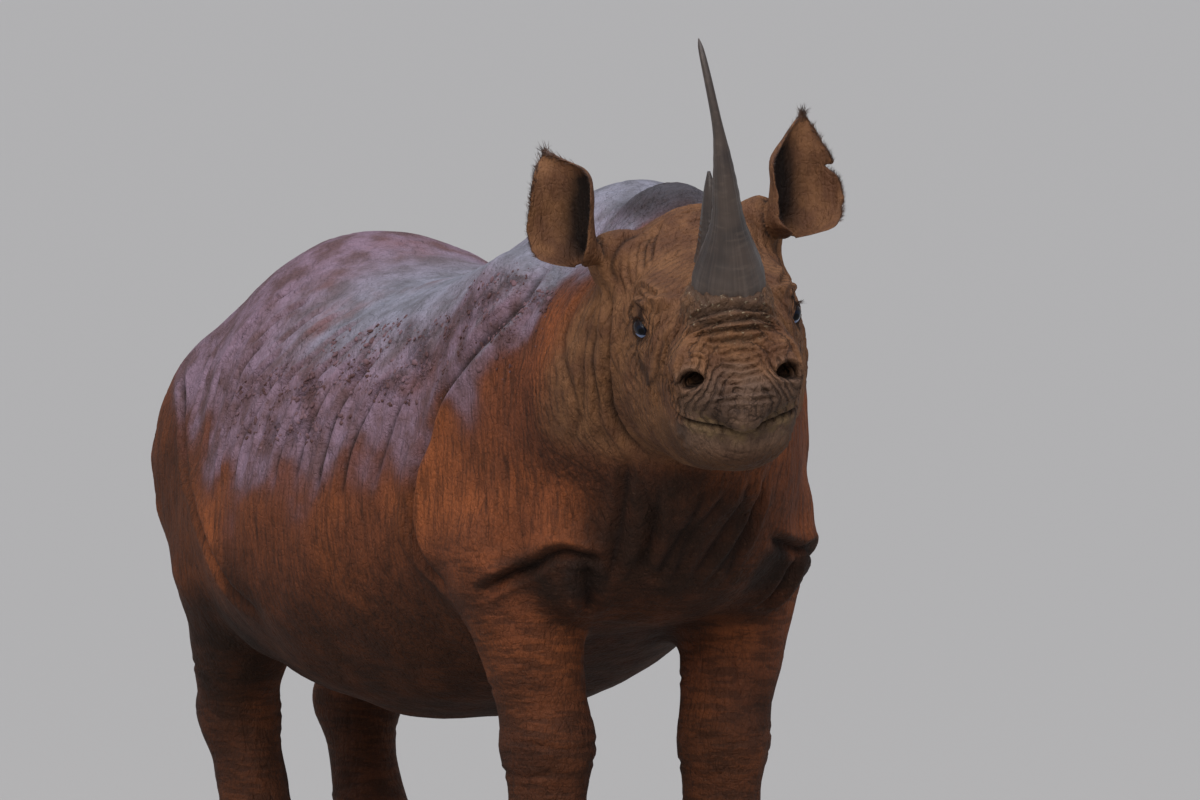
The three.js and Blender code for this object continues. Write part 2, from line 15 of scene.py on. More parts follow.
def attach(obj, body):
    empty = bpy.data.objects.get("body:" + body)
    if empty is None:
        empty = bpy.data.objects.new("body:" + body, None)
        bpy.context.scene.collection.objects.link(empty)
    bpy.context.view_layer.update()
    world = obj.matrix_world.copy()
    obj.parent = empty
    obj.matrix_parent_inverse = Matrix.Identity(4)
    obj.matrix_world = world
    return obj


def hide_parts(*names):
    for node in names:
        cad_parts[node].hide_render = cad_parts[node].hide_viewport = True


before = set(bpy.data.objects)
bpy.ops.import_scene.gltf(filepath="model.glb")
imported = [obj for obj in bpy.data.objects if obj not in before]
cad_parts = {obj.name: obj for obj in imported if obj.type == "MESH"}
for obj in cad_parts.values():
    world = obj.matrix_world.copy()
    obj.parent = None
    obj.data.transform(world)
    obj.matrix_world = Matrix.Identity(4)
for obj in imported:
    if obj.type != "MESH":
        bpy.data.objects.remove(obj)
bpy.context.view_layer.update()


# ---------------------------------------------------------------- driving dimensions, in millimetres
# The flesh is worked out in the solids' own working frame: millimetres, the animal faces -Y, its left side
# is +X, the floor is z = 0, and the origin lies between the feet.
WITHERS = 1562  # top of the shoulder hump
SADDLE = 1358  # lowest point of the back
HIPS = 1432  # top of the pelvis
BELLY = 440  # underside of the belly above the floor
BRISKET = 652  # underside of the chest between the forelegs
FORE_Y = -585  # where the forefeet stand
HIND_Y = 700  # where the nearer hind foot stands
TRACK = 198  # from the middle of the body to each leg
HIND_STEP = 200  # how far the left hind foot stands behind the right one
RUMP_Y = 1045  # back of the haunches
CHEST_Y = -985  # front of the breast
FOOT_TOP = 165  # height where the foot begins under the ankle
FOOT_RADIUS = 108  # of a forefoot at the sole
LEG_BLEND = 46  # reach within which the masses of one leg melt together
EYE_AT = np.array([-190.0, -1285.0, 1299.0])  # middle of the head, halfway between the eyes
HEAD_TURN = 19.5  # degrees to the animal's right
HEAD_DROP = 20  # degrees that the face slopes down
HEAD_TILT = 5.5  # degrees that the crown leans to the animal's right
EYE_SPREAD = 144  # from the middle of the head to each eye
EYE_RADIUS = 23
CENTRE = np.array([0.0, -232.0, 0.0])  # the frame's origin, in the working frame


def to_frame(p):
    """Places in the working frame, as metres in the frame."""
    return (p - CENTRE) / 1000


def from_frame(p):
    """Metres in the frame, as places in the working frame."""
    return p * 1000 + CENTRE


# ---------------------------------------------------------------- masses that melt into each other
def melt(a, b, reach):
    """Smooth minimum of two distances: the two masses melt together within reach."""
    h = np.maximum(reach - np.abs(a - b), 0) / reach
    return np.minimum(a, b) - h * h * reach / 4


def through(places, values, at):
    """A smooth curve through (places, values)."""
    places, values = np.asarray(places, float), np.asarray(values, float)
    last = len(places) - 1
    before = np.maximum(np.arange(last + 1) - 1, 0)
    after = np.minimum(np.arange(last + 1) + 1, last)
    slope = (values[after] - values[before]) / (places[after] - places[before])
    at = np.clip(at, places[0], places[-1])
    i = np.clip(np.searchsorted(places, at, side="right") - 1, 0, last - 1)
    span = places[i + 1] - places[i]
    t = (at - places[i]) / span
    t2, t3 = t * t, t * t * t
    rise = (3 * t2 - 2 * t3) * (values[i + 1] - values[i]) + values[i]
    return rise + ((t3 - 2 * t2 + t) * slope[i] + (t3 - t2) * slope[i + 1]) * span


def egg(centre, radii):
    """An egg of muscle or bone."""
    centre, radii = np.array(centre, float), np.array(radii, float)

    def distance(p):
        q = (p - centre) / radii
        k0 = np.sqrt((q * q).sum(1) + 1e-12)
        q /= radii
        return k0 * (k0 - 1) / np.sqrt((q * q).sum(1) + 1e-12)

    return distance


def limb(a, b, ra, rb, deep=1.0):
    """A tapering length of limb from a to b; deep stretches its section fore and aft."""
    a, b = np.array(a, float), np.array(b, float)
    way = b - a
    squeeze = np.array([1.0, 1.0 / deep, 1.0])

    def distance(p):
        t = np.clip((p - a) @ way / (way @ way), 0, 1)
        away = (p - a - t[:, None] * way) * squeeze
        return (np.sqrt((away * away).sum(1)) - (ra + (rb - ra) * t)) * min(deep, 1)

    return distance


def hull(stations, full_up, full_down, cap):
    """A body lofted along one axis. A station: where, top, widest level, bottom, half width."""
    places, tops, levels, bottoms, halves = np.array(stations, float).T
    first, last = places[0], places[-1]

    def distance(along, across, height):
        level = through(places, levels, along)
        ending = np.maximum(first + cap - along, along - last + cap) / cap
        round_off = np.sqrt(1 - np.clip(ending, 0, 0.999) ** 2)
        upper = height > level
        full = np.where(upper, full_up, full_down)
        half = through(places, halves, along) * round_off
        rise = np.where(upper, through(places, tops, along), through(places, bottoms, along)) - level
        a = np.abs(across) / half
        b = np.abs((height - level) / (rise * round_off))
        g = np.maximum((a**full + b**full) ** (1 / full), 1e-6)
        radial = np.maximum(np.hypot(across, height - level) * (1 - 1 / g), -half)
        return np.maximum(radial, np.maximum(first - along, along - last))

    return distance


def together(masses, reach):
    """Several masses as one: each melts into those before it."""

    def distance(p):
        d = masses[0](p)
        for mass in masses[1:]:
            d = melt(d, mass(p), reach)
        return d

    return distance


# ---------------------------------------------------------------- trunk and neck
TRUNK_STATIONS = [
    (CHEST_Y, 1200, 980, 840, 150),
    (-870, 1370, 960, 735, 222),
    (-740, 1490, 940, 680, 288),
    (-600, WITHERS, 920, BRISKET, 340),
    (-400, 1480, 900, 580, 385),
    (-130, 1386, 860, 482, 458),
    (90, SADDLE, 840, BELLY, 495),
    (300, 1384, 835, 452, 490),
    (500, HIPS, 850, 510, 452),
    (690, 1406, 860, 600, 378),
    (860, 1318, 880, 715, 298),
    (980, 1215, 930, 800, 235),
    (RUMP_Y, 1120, 970, 860, 180),
]
barrel = hull(TRUNK_STATIONS, 2.02, 2.08, 120)

NECK_ROOT, NECK_MIDDLE, NECK_NAPE = [-12, -560, 1080], [-76, -830, 1172], [-135, -1075, 1275]
neck_field = together(
    [
        limb(NECK_ROOT, NECK_MIDDLE, 345, 258, 0.9),
        limb(NECK_MIDDLE, NECK_NAPE, 258, 196),
        egg([-62, -870, 1400], [120, 205, 156]),  # crest of the neck
        egg([-62, -900, 1010], [150, 150, 170]),  # throat
    ],
    90,
)


# ---------------------------------------------------------------- the head, in a frame of its own
# Along: towards the nose. Side: the animal's left. Up: the crown. Its origin is halfway between the eyes.
def head_axes():
    """The head's three directions in the working frame, as the rows of a matrix."""
    turn, drop, tilt = np.radians([HEAD_TURN, HEAD_DROP, HEAD_TILT])
    level = np.array([-np.sin(turn), -np.cos(turn), 0])
    along = level * np.cos(drop) - np.array([0, 0, np.sin(drop)])
    level_side = np.array([np.cos(turn), -np.sin(turn), 0])
    level_up = np.cross(along, level_side)
    side = level_side * np.cos(tilt) + level_up * np.sin(tilt)
    return np.array([along, side, np.cross(along, side)])


HEAD = head_axes()


def on_head(places):
    """Places in the head's frame, as places in the working frame."""
    return EYE_AT + np.asarray(places, float) @ HEAD


def in_head(p):
    """Places in the working frame, as places in the head's frame."""
    return (np.asarray(p, float) - EYE_AT) @ HEAD.T


HEAD_STATIONS = [
    (-300, 120, -70, -250, 165),
    (-215, 158, -85, -305, 174),
    (-120, 136, -90, -326, 176),
    (-30, 112, -90, -318, 168),
    (60, 106, -85, -292, 152),
    (140, 114, -75, -260, 134),
    (210, 108, -65, -230, 124),
    (270, 66, -55, -190, 112),
    (318, 26, -55, -135, 84),
]
skull = hull(HEAD_STATIONS, 2.25, 2.6, 60)


def both_sides(place, radii):
    """The same mass on the left and the right of the head."""
    along, side, up = place
    return [egg([along, side * s, up], radii) for s in (-1, 1)]


HEAD_MASSES = [
    *both_sides([-110, 108, -150], [125, 70, 140]),  # cheeks
    *both_sides([-22, 106, 54], [88, 40, 36]),  # brows
    *both_sides([0, 116, -4], [60, 34, 50]),  # sockets
    egg([-214, -166, 62], [54, 62, 60]),  # root of the right ear
    egg([-214, 118, 104], [54, 48, 62]),  # and of the left one, which is held higher
    egg([186, 0, 86], [84, 78, 56]),  # seat of the front horn
    egg([-10, 0, 80], [84, 72, 44]),  # seat of the rear horn
    *both_sides([250, 84, 4], [58, 44, 58]),  # wings of the nostrils
    egg([288, 0, -40], [56, 106, 50]),  # upper lip
    egg([328, 0, -66], [26, 34, 34]),  # pointed tip of the upper lip
    egg([226, 0, -150], [88, 84, 66]),  # lower lip and chin
]


def head_field(p):
    """How far places lie outside the head's flesh."""
    q = in_head(p)
    d = skull(q[:, 0], q[:, 1], q[:, 2])
    for mass in HEAD_MASSES:
        d = melt(d, mass(q), 38)
    return d


# ---------------------------------------------------------------- legs and tail
def fore_leg(side):
    """The masses of a foreleg, from the shoulder blade down to the sole."""
    def at(x, y, z):
        return [x * side, y, z]

    return [
        egg(at(246, -545, 1080), [120, 205, 330]),  # shoulder blade
        egg(at(204, -715, 850), [116, 130, 160]),  # point of the shoulder
        egg(at(276, -505, 850), [112, 160, 175]),  # triceps and elbow
        limb(at(262, -560, 800), at(TRACK + 6, FORE_Y + 5, 470), 128, 84, 1.08),
        egg(at(TRACK, FORE_Y - 8, 425), [84, 88, 86]),  # knee
        limb(at(TRACK, FORE_Y, 400), at(TRACK, FORE_Y, FOOT_TOP), 75, 82, 1.05),
        limb(at(TRACK, FORE_Y, FOOT_TOP), at(TRACK, FORE_Y - 14, 30), 82, FOOT_RADIUS, 1.06),
    ]


def hind_leg(side, foot_x, foot_y):
    """The masses of a hind leg, from the haunch down to the sole."""
    def at(x, y, z):
        return [x * side, y, z]

    back = foot_y - HIND_Y
    ankle = at(foot_x - 2, foot_y + 12, FOOT_TOP)
    return [
        egg(at(230, 725, 950), [166, 236, 280]),  # haunch
        egg(at(256, 650 + back * 0.3, 810), [145, 195, 220]),  # thigh
        egg(at(282, 470 + back * 0.3, 715), [105, 122, 145]),  # stifle
        limb(at(262, 650 + back * 0.5, 720), at(foot_x + 8, foot_y + 92, 455), 142, 78, 1.1),
        egg(at(foot_x, foot_y + 96, 425), [70, 88, 80]),  # hock
        limb(at(foot_x, foot_y + 82, 410), ankle, 69, 75, 1.05),
        limb(ankle, at(foot_x - 2, foot_y - 6, 30), 75, FOOT_RADIUS - 6, 1.06),
    ]


LEGS = {
    "foreleg_right": (-1, TRACK, FORE_Y),
    "foreleg_left": (1, TRACK, FORE_Y),
    "hindleg_right": (-1, TRACK, HIND_Y),
    "hindleg_left": (1, TRACK - 26, HIND_Y + HIND_STEP),
}
leg_fields = {
    name: together(fore_leg(side) if name.startswith("fore") else hind_leg(side, x, y), LEG_BLEND)
    for name, (side, x, y) in LEGS.items()
}

TAIL_LINE = [
    [0, RUMP_Y - 85, 1190],
    [0, RUMP_Y + 14, 1085],
    [0, RUMP_Y + 50, 920],
    [0, RUMP_Y + 50, 720],
    [0, RUMP_Y + 44, 560],
]
TAIL_RADII = [62, 48, 32, 22, 17]
tail_field = together(
    [limb(TAIL_LINE[i], TAIL_LINE[i + 1], TAIL_RADII[i], TAIL_RADII[i + 1]) for i in range(4)], 20
)
SOLE_ROUND = 26  # how far round the edge of a sole the foot curves in


def flesh(p):
    """The whole surface: how far each place lies outside the flesh, negative inside."""
    x, y, z = p.T
    d = barrel(y, x, z)

    def add(near, field, reach):
        d[near] = melt(d[near], field(p[near]), reach)

    add(y < -300, neck_field, 90)
    for name, field in leg_fields.items():
        fore = name.startswith("fore")
        same_side = x * LEGS[name][0] > -60
        add(((y <= 0) if fore else (y >= 100)) & same_side, field, 60)
    add((y < -700) & (z > 700), head_field, 40)
    add(y > 800, tail_field, 24)
    return -melt(-d, z, SOLE_ROUND)


# ---------------------------------------------------------------- from the function to a mesh
NET = 13.0  # first mesh width
NET_BOX = (-530, -1665, -20), (530, 1175, 1600)  # two corners of the box round the flesh
FACE_REACH = -330  # from here to the nose the head is refined once more
LIMIT = 199_000  # triangles in one piece


def slope_of(field, p, eps=0.5):
    """The function and its gradient at each place."""
    value = field(p)
    steep = np.stack([field(p + step) - value for step in np.eye(3) * eps], 1) / eps
    return value, steep


def settle(p, rounds=3):
    """Moves places onto the surface of the flesh."""
    for _ in range(rounds):
        value, steep = slope_of(flesh, p)
        move = np.clip(value / np.maximum((steep**2).sum(1), 0.25), -12, 12)
        p = p - move[:, None] * steep
    return p


def net_over(field, low, high, step):
    """A mesh of four-sided faces over the surface where the field is zero: one place in each cell that it
    crosses, joined across each crossed edge of the grid."""
    axes = [np.arange(a, b + step, step) for a, b in zip(low, high)]
    shape = tuple(len(axis) for axis in axes)
    grid = np.stack(np.meshgrid(*axes, indexing="ij"), -1).reshape(-1, 3)
    value = np.concatenate([field(part) for part in np.array_split(grid, 16)]).reshape(shape)
    inside = value < 0
    boxes = tuple(n - 1 for n in shape)
    total = np.zeros(boxes + (3,))
    hits = np.zeros(boxes)
    crossed = []
    for k in range(3):
        near = [slice(None)] * 3
        far = [slice(None)] * 3
        near[k], far[k] = slice(0, -1), slice(1, None)
        near, far = tuple(near), tuple(far)
        cut = inside[near] != inside[far]
        at = np.stack(np.nonzero(cut), 1)
        a, b = value[near][cut], value[far][cut]
        place = at * step + np.array(low)
        place[:, k] += step * a / (a - b)
        crossed.append((k, at, inside[near][cut]))
        others = [j for j in range(3) if j != k]
        for da in (0, 1):
            for db in (0, 1):
                cell = at.copy()
                cell[:, others[0]] -= da
                cell[:, others[1]] -= db
                np.add.at(total, tuple(cell.T), place)
                np.add.at(hits, tuple(cell.T), 1)
    used = hits > 0
    number = np.full(boxes, -1)
    number[used] = np.arange(used.sum())
    faces = []
    for k, at, starts_inside in crossed:
        a, b = [j for j in range(3) if j != k]
        corners = []
        for da, db in ((0, 0), (1, 0), (1, 1), (0, 1)):
            cell = at.copy()
            cell[:, a] -= da
            cell[:, b] -= db
            corners.append(number[tuple(cell.T)])
        quads = np.stack(corners, 1)
        turned = starts_inside if k != 1 else ~starts_inside
        quads[~turned] = quads[~turned][:, ::-1]
        faces.append(quads)
    return total[used] / hits[used][:, None], np.concatenate(faces)


def mesh_of(name, places, faces):
    """A mesh from places and faces."""
    mesh = bpy.data.meshes.new(name)
    mesh.from_pydata(np.asarray(places, float).tolist(), [], faces)
    mesh.update()
    return mesh


def gathered(items, key, wide=3, kind=np.float32):
    """One property of all vertices, edges or corners of a mesh, as the rows of an array."""
    values = np.empty(len(items) * wide, kind)
    items.foreach_get(key, values)
    return values.reshape(-1, wide)


def places_of(mesh):
    """Where the vertices of a mesh are."""
    return gathered(mesh.vertices, "co").astype(float)


def put(mesh, places):
    """Moves the vertices of a mesh."""
    mesh.vertices.foreach_set("co", places.astype(np.float32).ravel())
    mesh.update()


def carry(mesh, name, values):
    """Gives the mesh a value, or a direction, at each place."""
    values = np.asarray(values, np.float32)
    kind, key = ("FLOAT_VECTOR", "vector") if values.ndim == 2 else ("FLOAT", "value")
    mesh.attributes.new(name, kind, "POINT").data.foreach_set(key, values.ravel())


def full_turn(count):
    """Angles at even steps all the way round."""
    return np.linspace(0, 2 * np.pi, count, endpoint=False)


def tube(rings, around, first=0):
    """The four-sided faces between one ring of places and the next."""
    ring = first + np.arange(rings - 1)[:, None] * around
    here = np.arange(around)[None]
    ahead = (here + 1) % around
    corners = [ring + here, ring + ahead, ring + around + ahead, ring + around + here]
    return np.stack(corners, -1).reshape(-1, 4).tolist()


def ball(rings, around):
    """A ball of places in rings: each one's angle from the top, its angle round the axis, and the faces."""
    lean = np.linspace(0, np.pi, rings)[1:-1]
    a, b = (angle.ravel() for angle in np.meshgrid(lean, full_turn(around), indexing="ij"))
    a, b = np.concatenate([[0], a, [np.pi]]), np.concatenate([[0], b, [0]])
    faces = tube(rings - 2, around, 1)
    last = len(a) - 1
    for k in range(around):
        n = (k + 1) % around
        faces.append([0, 1 + n, 1 + k])
        faces.append([last, last - around + k, last - around + n])
    return a, b, faces


def refine(mesh, near):
    """Splits into four each face whose corners are all near, and settles what is new."""
    bm = bmesh.new()
    bm.from_mesh(mesh)
    flags = near(places_of(mesh))
    edges = [e for e in bm.edges if flags[e.verts[0].index] and flags[e.verts[1].index]]
    bmesh.ops.subdivide_edges(bm, edges=edges, cuts=1, use_grid_fill=True)
    bm.to_mesh(mesh)
    bm.free()
    p = places_of(mesh)
    near_now = near(p)
    p[near_now] = settle(p[near_now], 2)
    put(mesh, p)


def bare_flesh():
    """The flesh as a mesh, in the working frame: finer on the head, finest round eyes and nose."""
    places, faces = net_over(flesh, *NET_BOX, NET)
    mesh = mesh_of("skin", settle(places, 3), faces.tolist())
    refine(mesh, lambda p: np.ones(len(p), bool))
    refine(mesh, lambda p: in_head(p)[:, 0] > FACE_REACH)
    refine(mesh, lambda p: fine_places(in_head(p)))
    return mesh


def fine_places(q):
    """Where the head has its smallest folds: round the eyes, nostrils and lips."""
    eye_gap = np.linalg.norm(q - [0, 0, -10] - np.sign(q[:, 1:2]) * [0, EYE_SPREAD, 0], axis=1)
    muzzle = (q[:, 0] > 205) & (q[:, 2] > -112)
    return (eye_gap < 74) | muzzle


# ---------------------------------------------------------------- folds and wrinkles
def ripple(p, size, seed, waves=16):
    """Soft random relief, mostly between -1 and 1, in lumps of about this size."""
    rng = np.random.default_rng(seed)
    ways = rng.normal(size=(waves, 3))
    ways *= (2 * np.pi / size * rng.uniform(0.5, 1.3, waves) / np.linalg.norm(ways, axis=1))[:, None]
    return np.sin(p @ ways.T + rng.uniform(0, 6.28, waves)).sum(1) / np.sqrt(waves)


def cracks(p, size, seed, narrow=0.14):
    """A web of thin creases, 1 in a crease and 0 between them."""
    return np.exp(-((ripple(p, size, seed) / narrow) ** 2))


def smooth(low, high, x):
    """0 below low, 1 above high, and an even bend between."""
    t = np.clip((x - low) / (high - low), 0, 1)
    return t * t * (3 - 2 * t)


def settle_all(lines, rounds):
    """Settles many lines at once."""
    ends = np.cumsum([len(line) for line in lines])[:-1]
    return np.split(settle(np.concatenate(lines), rounds), ends)


def lines_over(rough, stride=5.0):
    """Smooth lines over the flesh, each through its roughly placed points."""
    lines = []
    for points in settle_all([np.array(points, float) for points in rough], 5):
        places = np.concatenate([[0], np.cumsum(np.linalg.norm(np.diff(points, axis=0), axis=1))])
        at = np.linspace(0, places[-1], max(int(places[-1] / stride), 3))
        lines.append(np.stack([through(places, points[:, k], at) for k in range(3)], 1))
    return settle_all(lines, 2)


def groove(p, line, width, depth, bulge=0.4, fade=0.22, lift=0.0, toward=(0, 0, 1)):
    """How far the skin stands out round a fold: a groove, swelling on both sides, that fades at its ends.
    lift raises the skin more on the side toward a direction, as where one roll hangs over the next."""
    out = np.zeros(len(p))
    reach = (7 if lift else 4) * width
    near = np.flatnonzero(((p > line.min(0) - reach) & (p < line.max(0) + reach)).all(1))
    if not len(near):
        return out
    middle = line.mean(0)
    q, way = p[near] - middle, line - middle
    far2 = (q * q).sum(1)[:, None] + (way * way).sum(1)[None] - 2 * q @ way.T
    i = far2.argmin(1)
    tangent = np.gradient(line, axis=0)
    tangent /= np.linalg.norm(tangent, axis=1)[:, None]
    away = q - way[i]
    lengthwise = (away * tangent[i]).sum(1)
    stride = np.linalg.norm(line[1] - line[0])
    away -= np.clip(lengthwise, -stride, stride)[:, None] * tangent[i]
    x = np.linalg.norm(away, axis=1) / width
    share = i / (len(line) - 1)
    ends = smooth(0, fade, share) * smooth(0, fade, 1 - share)
    roll = bulge * np.exp(-(((x - 2.1) / 0.9) ** 2)) - np.exp(-np.abs(x) ** 1.5)
    out[near] = depth * ends * roll
    if lift:
        raised = away @ np.array(toward, float) > 0
        out[near] += lift * ends * raised * smooth(0, 1.4, x) * smooth(6.5, 1.4, x)
    return out


def fold(points, width, depth, bulge=0.4, fade=0.22, **more):
    """A fold through roughly placed points, and the shape that groove gives it."""
    return dict(points=points, width=width, depth=depth, bulge=bulge, fade=fade, **more)


def folds_between(first, last, count, width, depth, wander=0.0, seed=0, bulge=0.5, fade=0.22):
    """A family of folds spaced evenly from one guide line to another. wander is how far each one strays."""
    rng = np.random.default_rng(seed)
    first, last = np.array(first, float), np.array(last, float)
    for t in np.linspace(0, 1, count) if count > 1 else [0.0]:
        stray = rng.normal(size=first.shape) * wander
        scale = rng.uniform(0.75, 1.2)
        yield fold(first + (last - first) * t + stray, width, depth * scale, bulge, fade)


def arc(centre, tangent, upward, radius, start, stop):
    """Places round a centre, from one angle in degrees to another, measured from tangent toward upward."""
    tangent, upward = np.array(tangent), np.array(upward)
    angles = np.radians(np.linspace(start, stop, 7))[:, None]
    return np.array(centre) + radius * (np.cos(angles) * tangent + np.sin(angles) * upward)


def mirror(line, side):
    """Places in the head's frame, put on one side of the head: -1 for the right, 1 for the left."""
    return np.array(line, float) * [1, side, 1]


MOUTH = [(322, 0, -101), (306, 40, -98), (282, 78, -93), (236, 106, -90), (192, 122, -90)]


def nose_folds():
    """Wrinkles across the bridge of the nose and down to the tip of the lip."""
    across = [
        # half a wrinkle over the bridge of the nose, from the side to the middle; width and depth
        ([(196, 98, 76), (224, 74, 104), (243, 38, 116), (250, 0, 120)], 4.5, 4.2),
        ([(214, 112, 50), (230, 88, 78), (252, 48, 100), (262, 0, 106)], 4.5, 4.0),
        ([(238, 104, 62), (250, 80, 76), (262, 42, 86), (272, 0, 90)], 4.0, 3.4),
        ([(262, 70, 72), (272, 44, 68), (281, 18, 68), (282, 0, 70)], 3.8, 2.8),
        ([(280, 46, 48), (286, 28, 47), (289, 12, 49), (290, 0, 50)], 3.4, 2.4),
        ([(288, 44, 34), (294, 24, 33), (297, 10, 34), (298, 0, 34)], 3.4, 2.4),
        ([(297, 44, 22), (302, 22, 21), (305, 8, 20), (306, 0, 20)], 3.4, 2.4),
        ([(306, 46, 9), (312, 24, 7), (314, 10, 7), (315, 0, 7)], 3.4, 2.2),
        ([(316, 52, -5), (322, 28, -7), (324, 10, -7), (325, 0, -6)], 3.4, 2.2),
        ([(322, 66, -24), (333, 34, -18), (336, 12, -17), (337, 0, -17)], 3.8, 2.4),
        ([(322, 74, -42), (340, 40, -34), (346, 16, -30), (347, 0, -30)], 3.6, 2.0),
    ]
    rng = np.random.default_rng(4)
    for half, width, depth in across:
        half = np.array(half, float)
        line = np.concatenate([half * [1, -1, 1], half[-2::-1]]) + rng.normal(size=(7, 3)) * [2.2, 0, 2.2]
        yield fold(line, width, depth * 1.7, 0.55, 0.16)


def face_folds(side):
    """The folds on one side of the face."""
    def on(line):
        return mirror(line, side)

    creases = []
    seed = 10 + side
    # wings of the nostrils
    for radius, depth in ((36, 2.6), (47, 3.0), (58, 2.2)):
        line = arc((297, 95 * side, 8), (0.25, 0.97 * side, 0), (-0.5, 0, 0.86), radius, -40, 215)
        creases.append(fold(line, 4.2, depth * 1.8, 0.55, 0.2))
    # from the wing of the nostril down to the lip, and on back along the muzzle
    creases += folds_between(
        on([(282, 116, 0), (284, 112, -36), (282, 100, -66)]),
        on([(176, 130, 34), (188, 134, -34), (196, 128, -84)]),
        7, 4.4, 4.6, 2.5, seed,
    )
    # between the eye and the muzzle
    creases += folds_between(
        on([(56, 126, 66), (90, 130, 20), (106, 140, -46), (88, 148, -104)]),
        on([(180, 80, 108), (174, 100, 62), (152, 122, 6), (146, 134, -76)]),
        6, 5.0, 7.0, 3, seed + 2,
    )
    # over the brow
    creases += folds_between(
        on([(-62, 166, 10), (-44, 164, 34), (-8, 156, 46), (36, 140, 40)]),
        on([(-84, 166, 40), (-50, 152, 70), (6, 132, 76), (56, 112, 76)]),
        3, 5.2, 5.6, 2, seed + 4,
    )
    # the ridge of the brow, from the corner of the eye to the horn
    brow = [(-86, 180, -10), (-50, 166, 36), (-2, 151, 52), (53, 118, 75), (90, 66, 94)]
    creases.append(fold(on(brow), 10, -9, 0.3, 0.25))
    # from the root of the ear to the brow, and the groove of the temple
    creases.append(fold(on([(-226, 110, 138), (-186, 152, 112), (-160, 186, 70), (-128, 188, 26)]), 8, 9))
    creases += folds_between(
        on([(-196, 74, 152), (-150, 108, 122), (-92, 128, 96)]),
        on([(-176, 156, 92), (-146, 172, 52), (-100, 178, 22)]),
        5, 6.5, 7.0, 3, seed + 6,
    )
    # across the cheek, behind and below the eye
    creases += folds_between(
        on([(-70, 178, 0), (-66, 184, -50), (-30, 184, -104), (30, 172, -130)]),
        on([(-96, 184, -20), (-96, 190, -86), (-52, 190, -150), (20, 176, -178)]),
        3, 6.0, 2.6, 4, seed + 8,
    )
    # corner of the mouth and the side of the chin
    creases += folds_between(
        on([(128, 138, -62), (112, 146, -96), (104, 148, -136)]),
        on([(96, 146, -66), (80, 152, -104), (74, 154, -150)]),
        3, 5.0, 4.0, 2, seed + 10,
    )
    creases += folds_between(
        on([(246, 86, -120), (226, 96, -140), (196, 100, -160)]),
        on([(226, 66, -190), (206, 76, -196), (176, 84, -204)]),
        5, 4.8, 3.4, 3, seed + 12,
    )
    return creases


def head_folds():
    """Every fold of the head, as rough places in the working frame, and its shape."""
    creases = [*nose_folds(), *face_folds(-1), *face_folds(1)]
    # across the forehead
    creases += folds_between(
        [(-96, -92, 116), (-96, -40, 134), (-96, 0, 138), (-96, 40, 134), (-96, 92, 116)],
        [(-236, -84, 150), (-240, -40, 158), (-242, 0, 160), (-240, 40, 158), (-236, 84, 150)],
        9, 5.0, 3.4, 4, 31,
    )
    creases += [fold(mirror(MOUTH, side), 5.5, 10.0, 0.35, 0.2) for side in (1, -1)]
    return [dict(crease, points=on_head(crease["points"])) for crease in creases]


NECK_FOLD_FIRST = [(-280, -1030, 1410), (-322, -1040, 1333), (-334, -1042, 1235), (-310, -1010, 1120)]
NECK_FOLD_FIRST += [(-262, -975, 1030)]
NECK_FOLD_LAST = [(-262, -930, 1420), (-300, -930, 1350), (-326, -925, 1250), (-322, -905, 1130)]
NECK_FOLD_LAST += [(-290, -880, 1010)]
FORE_FOLDS, HIND_FOLDS = [545, 440, 405, 372, 215, 185], [520, 425, 385, 210, 180]  # heights round the legs


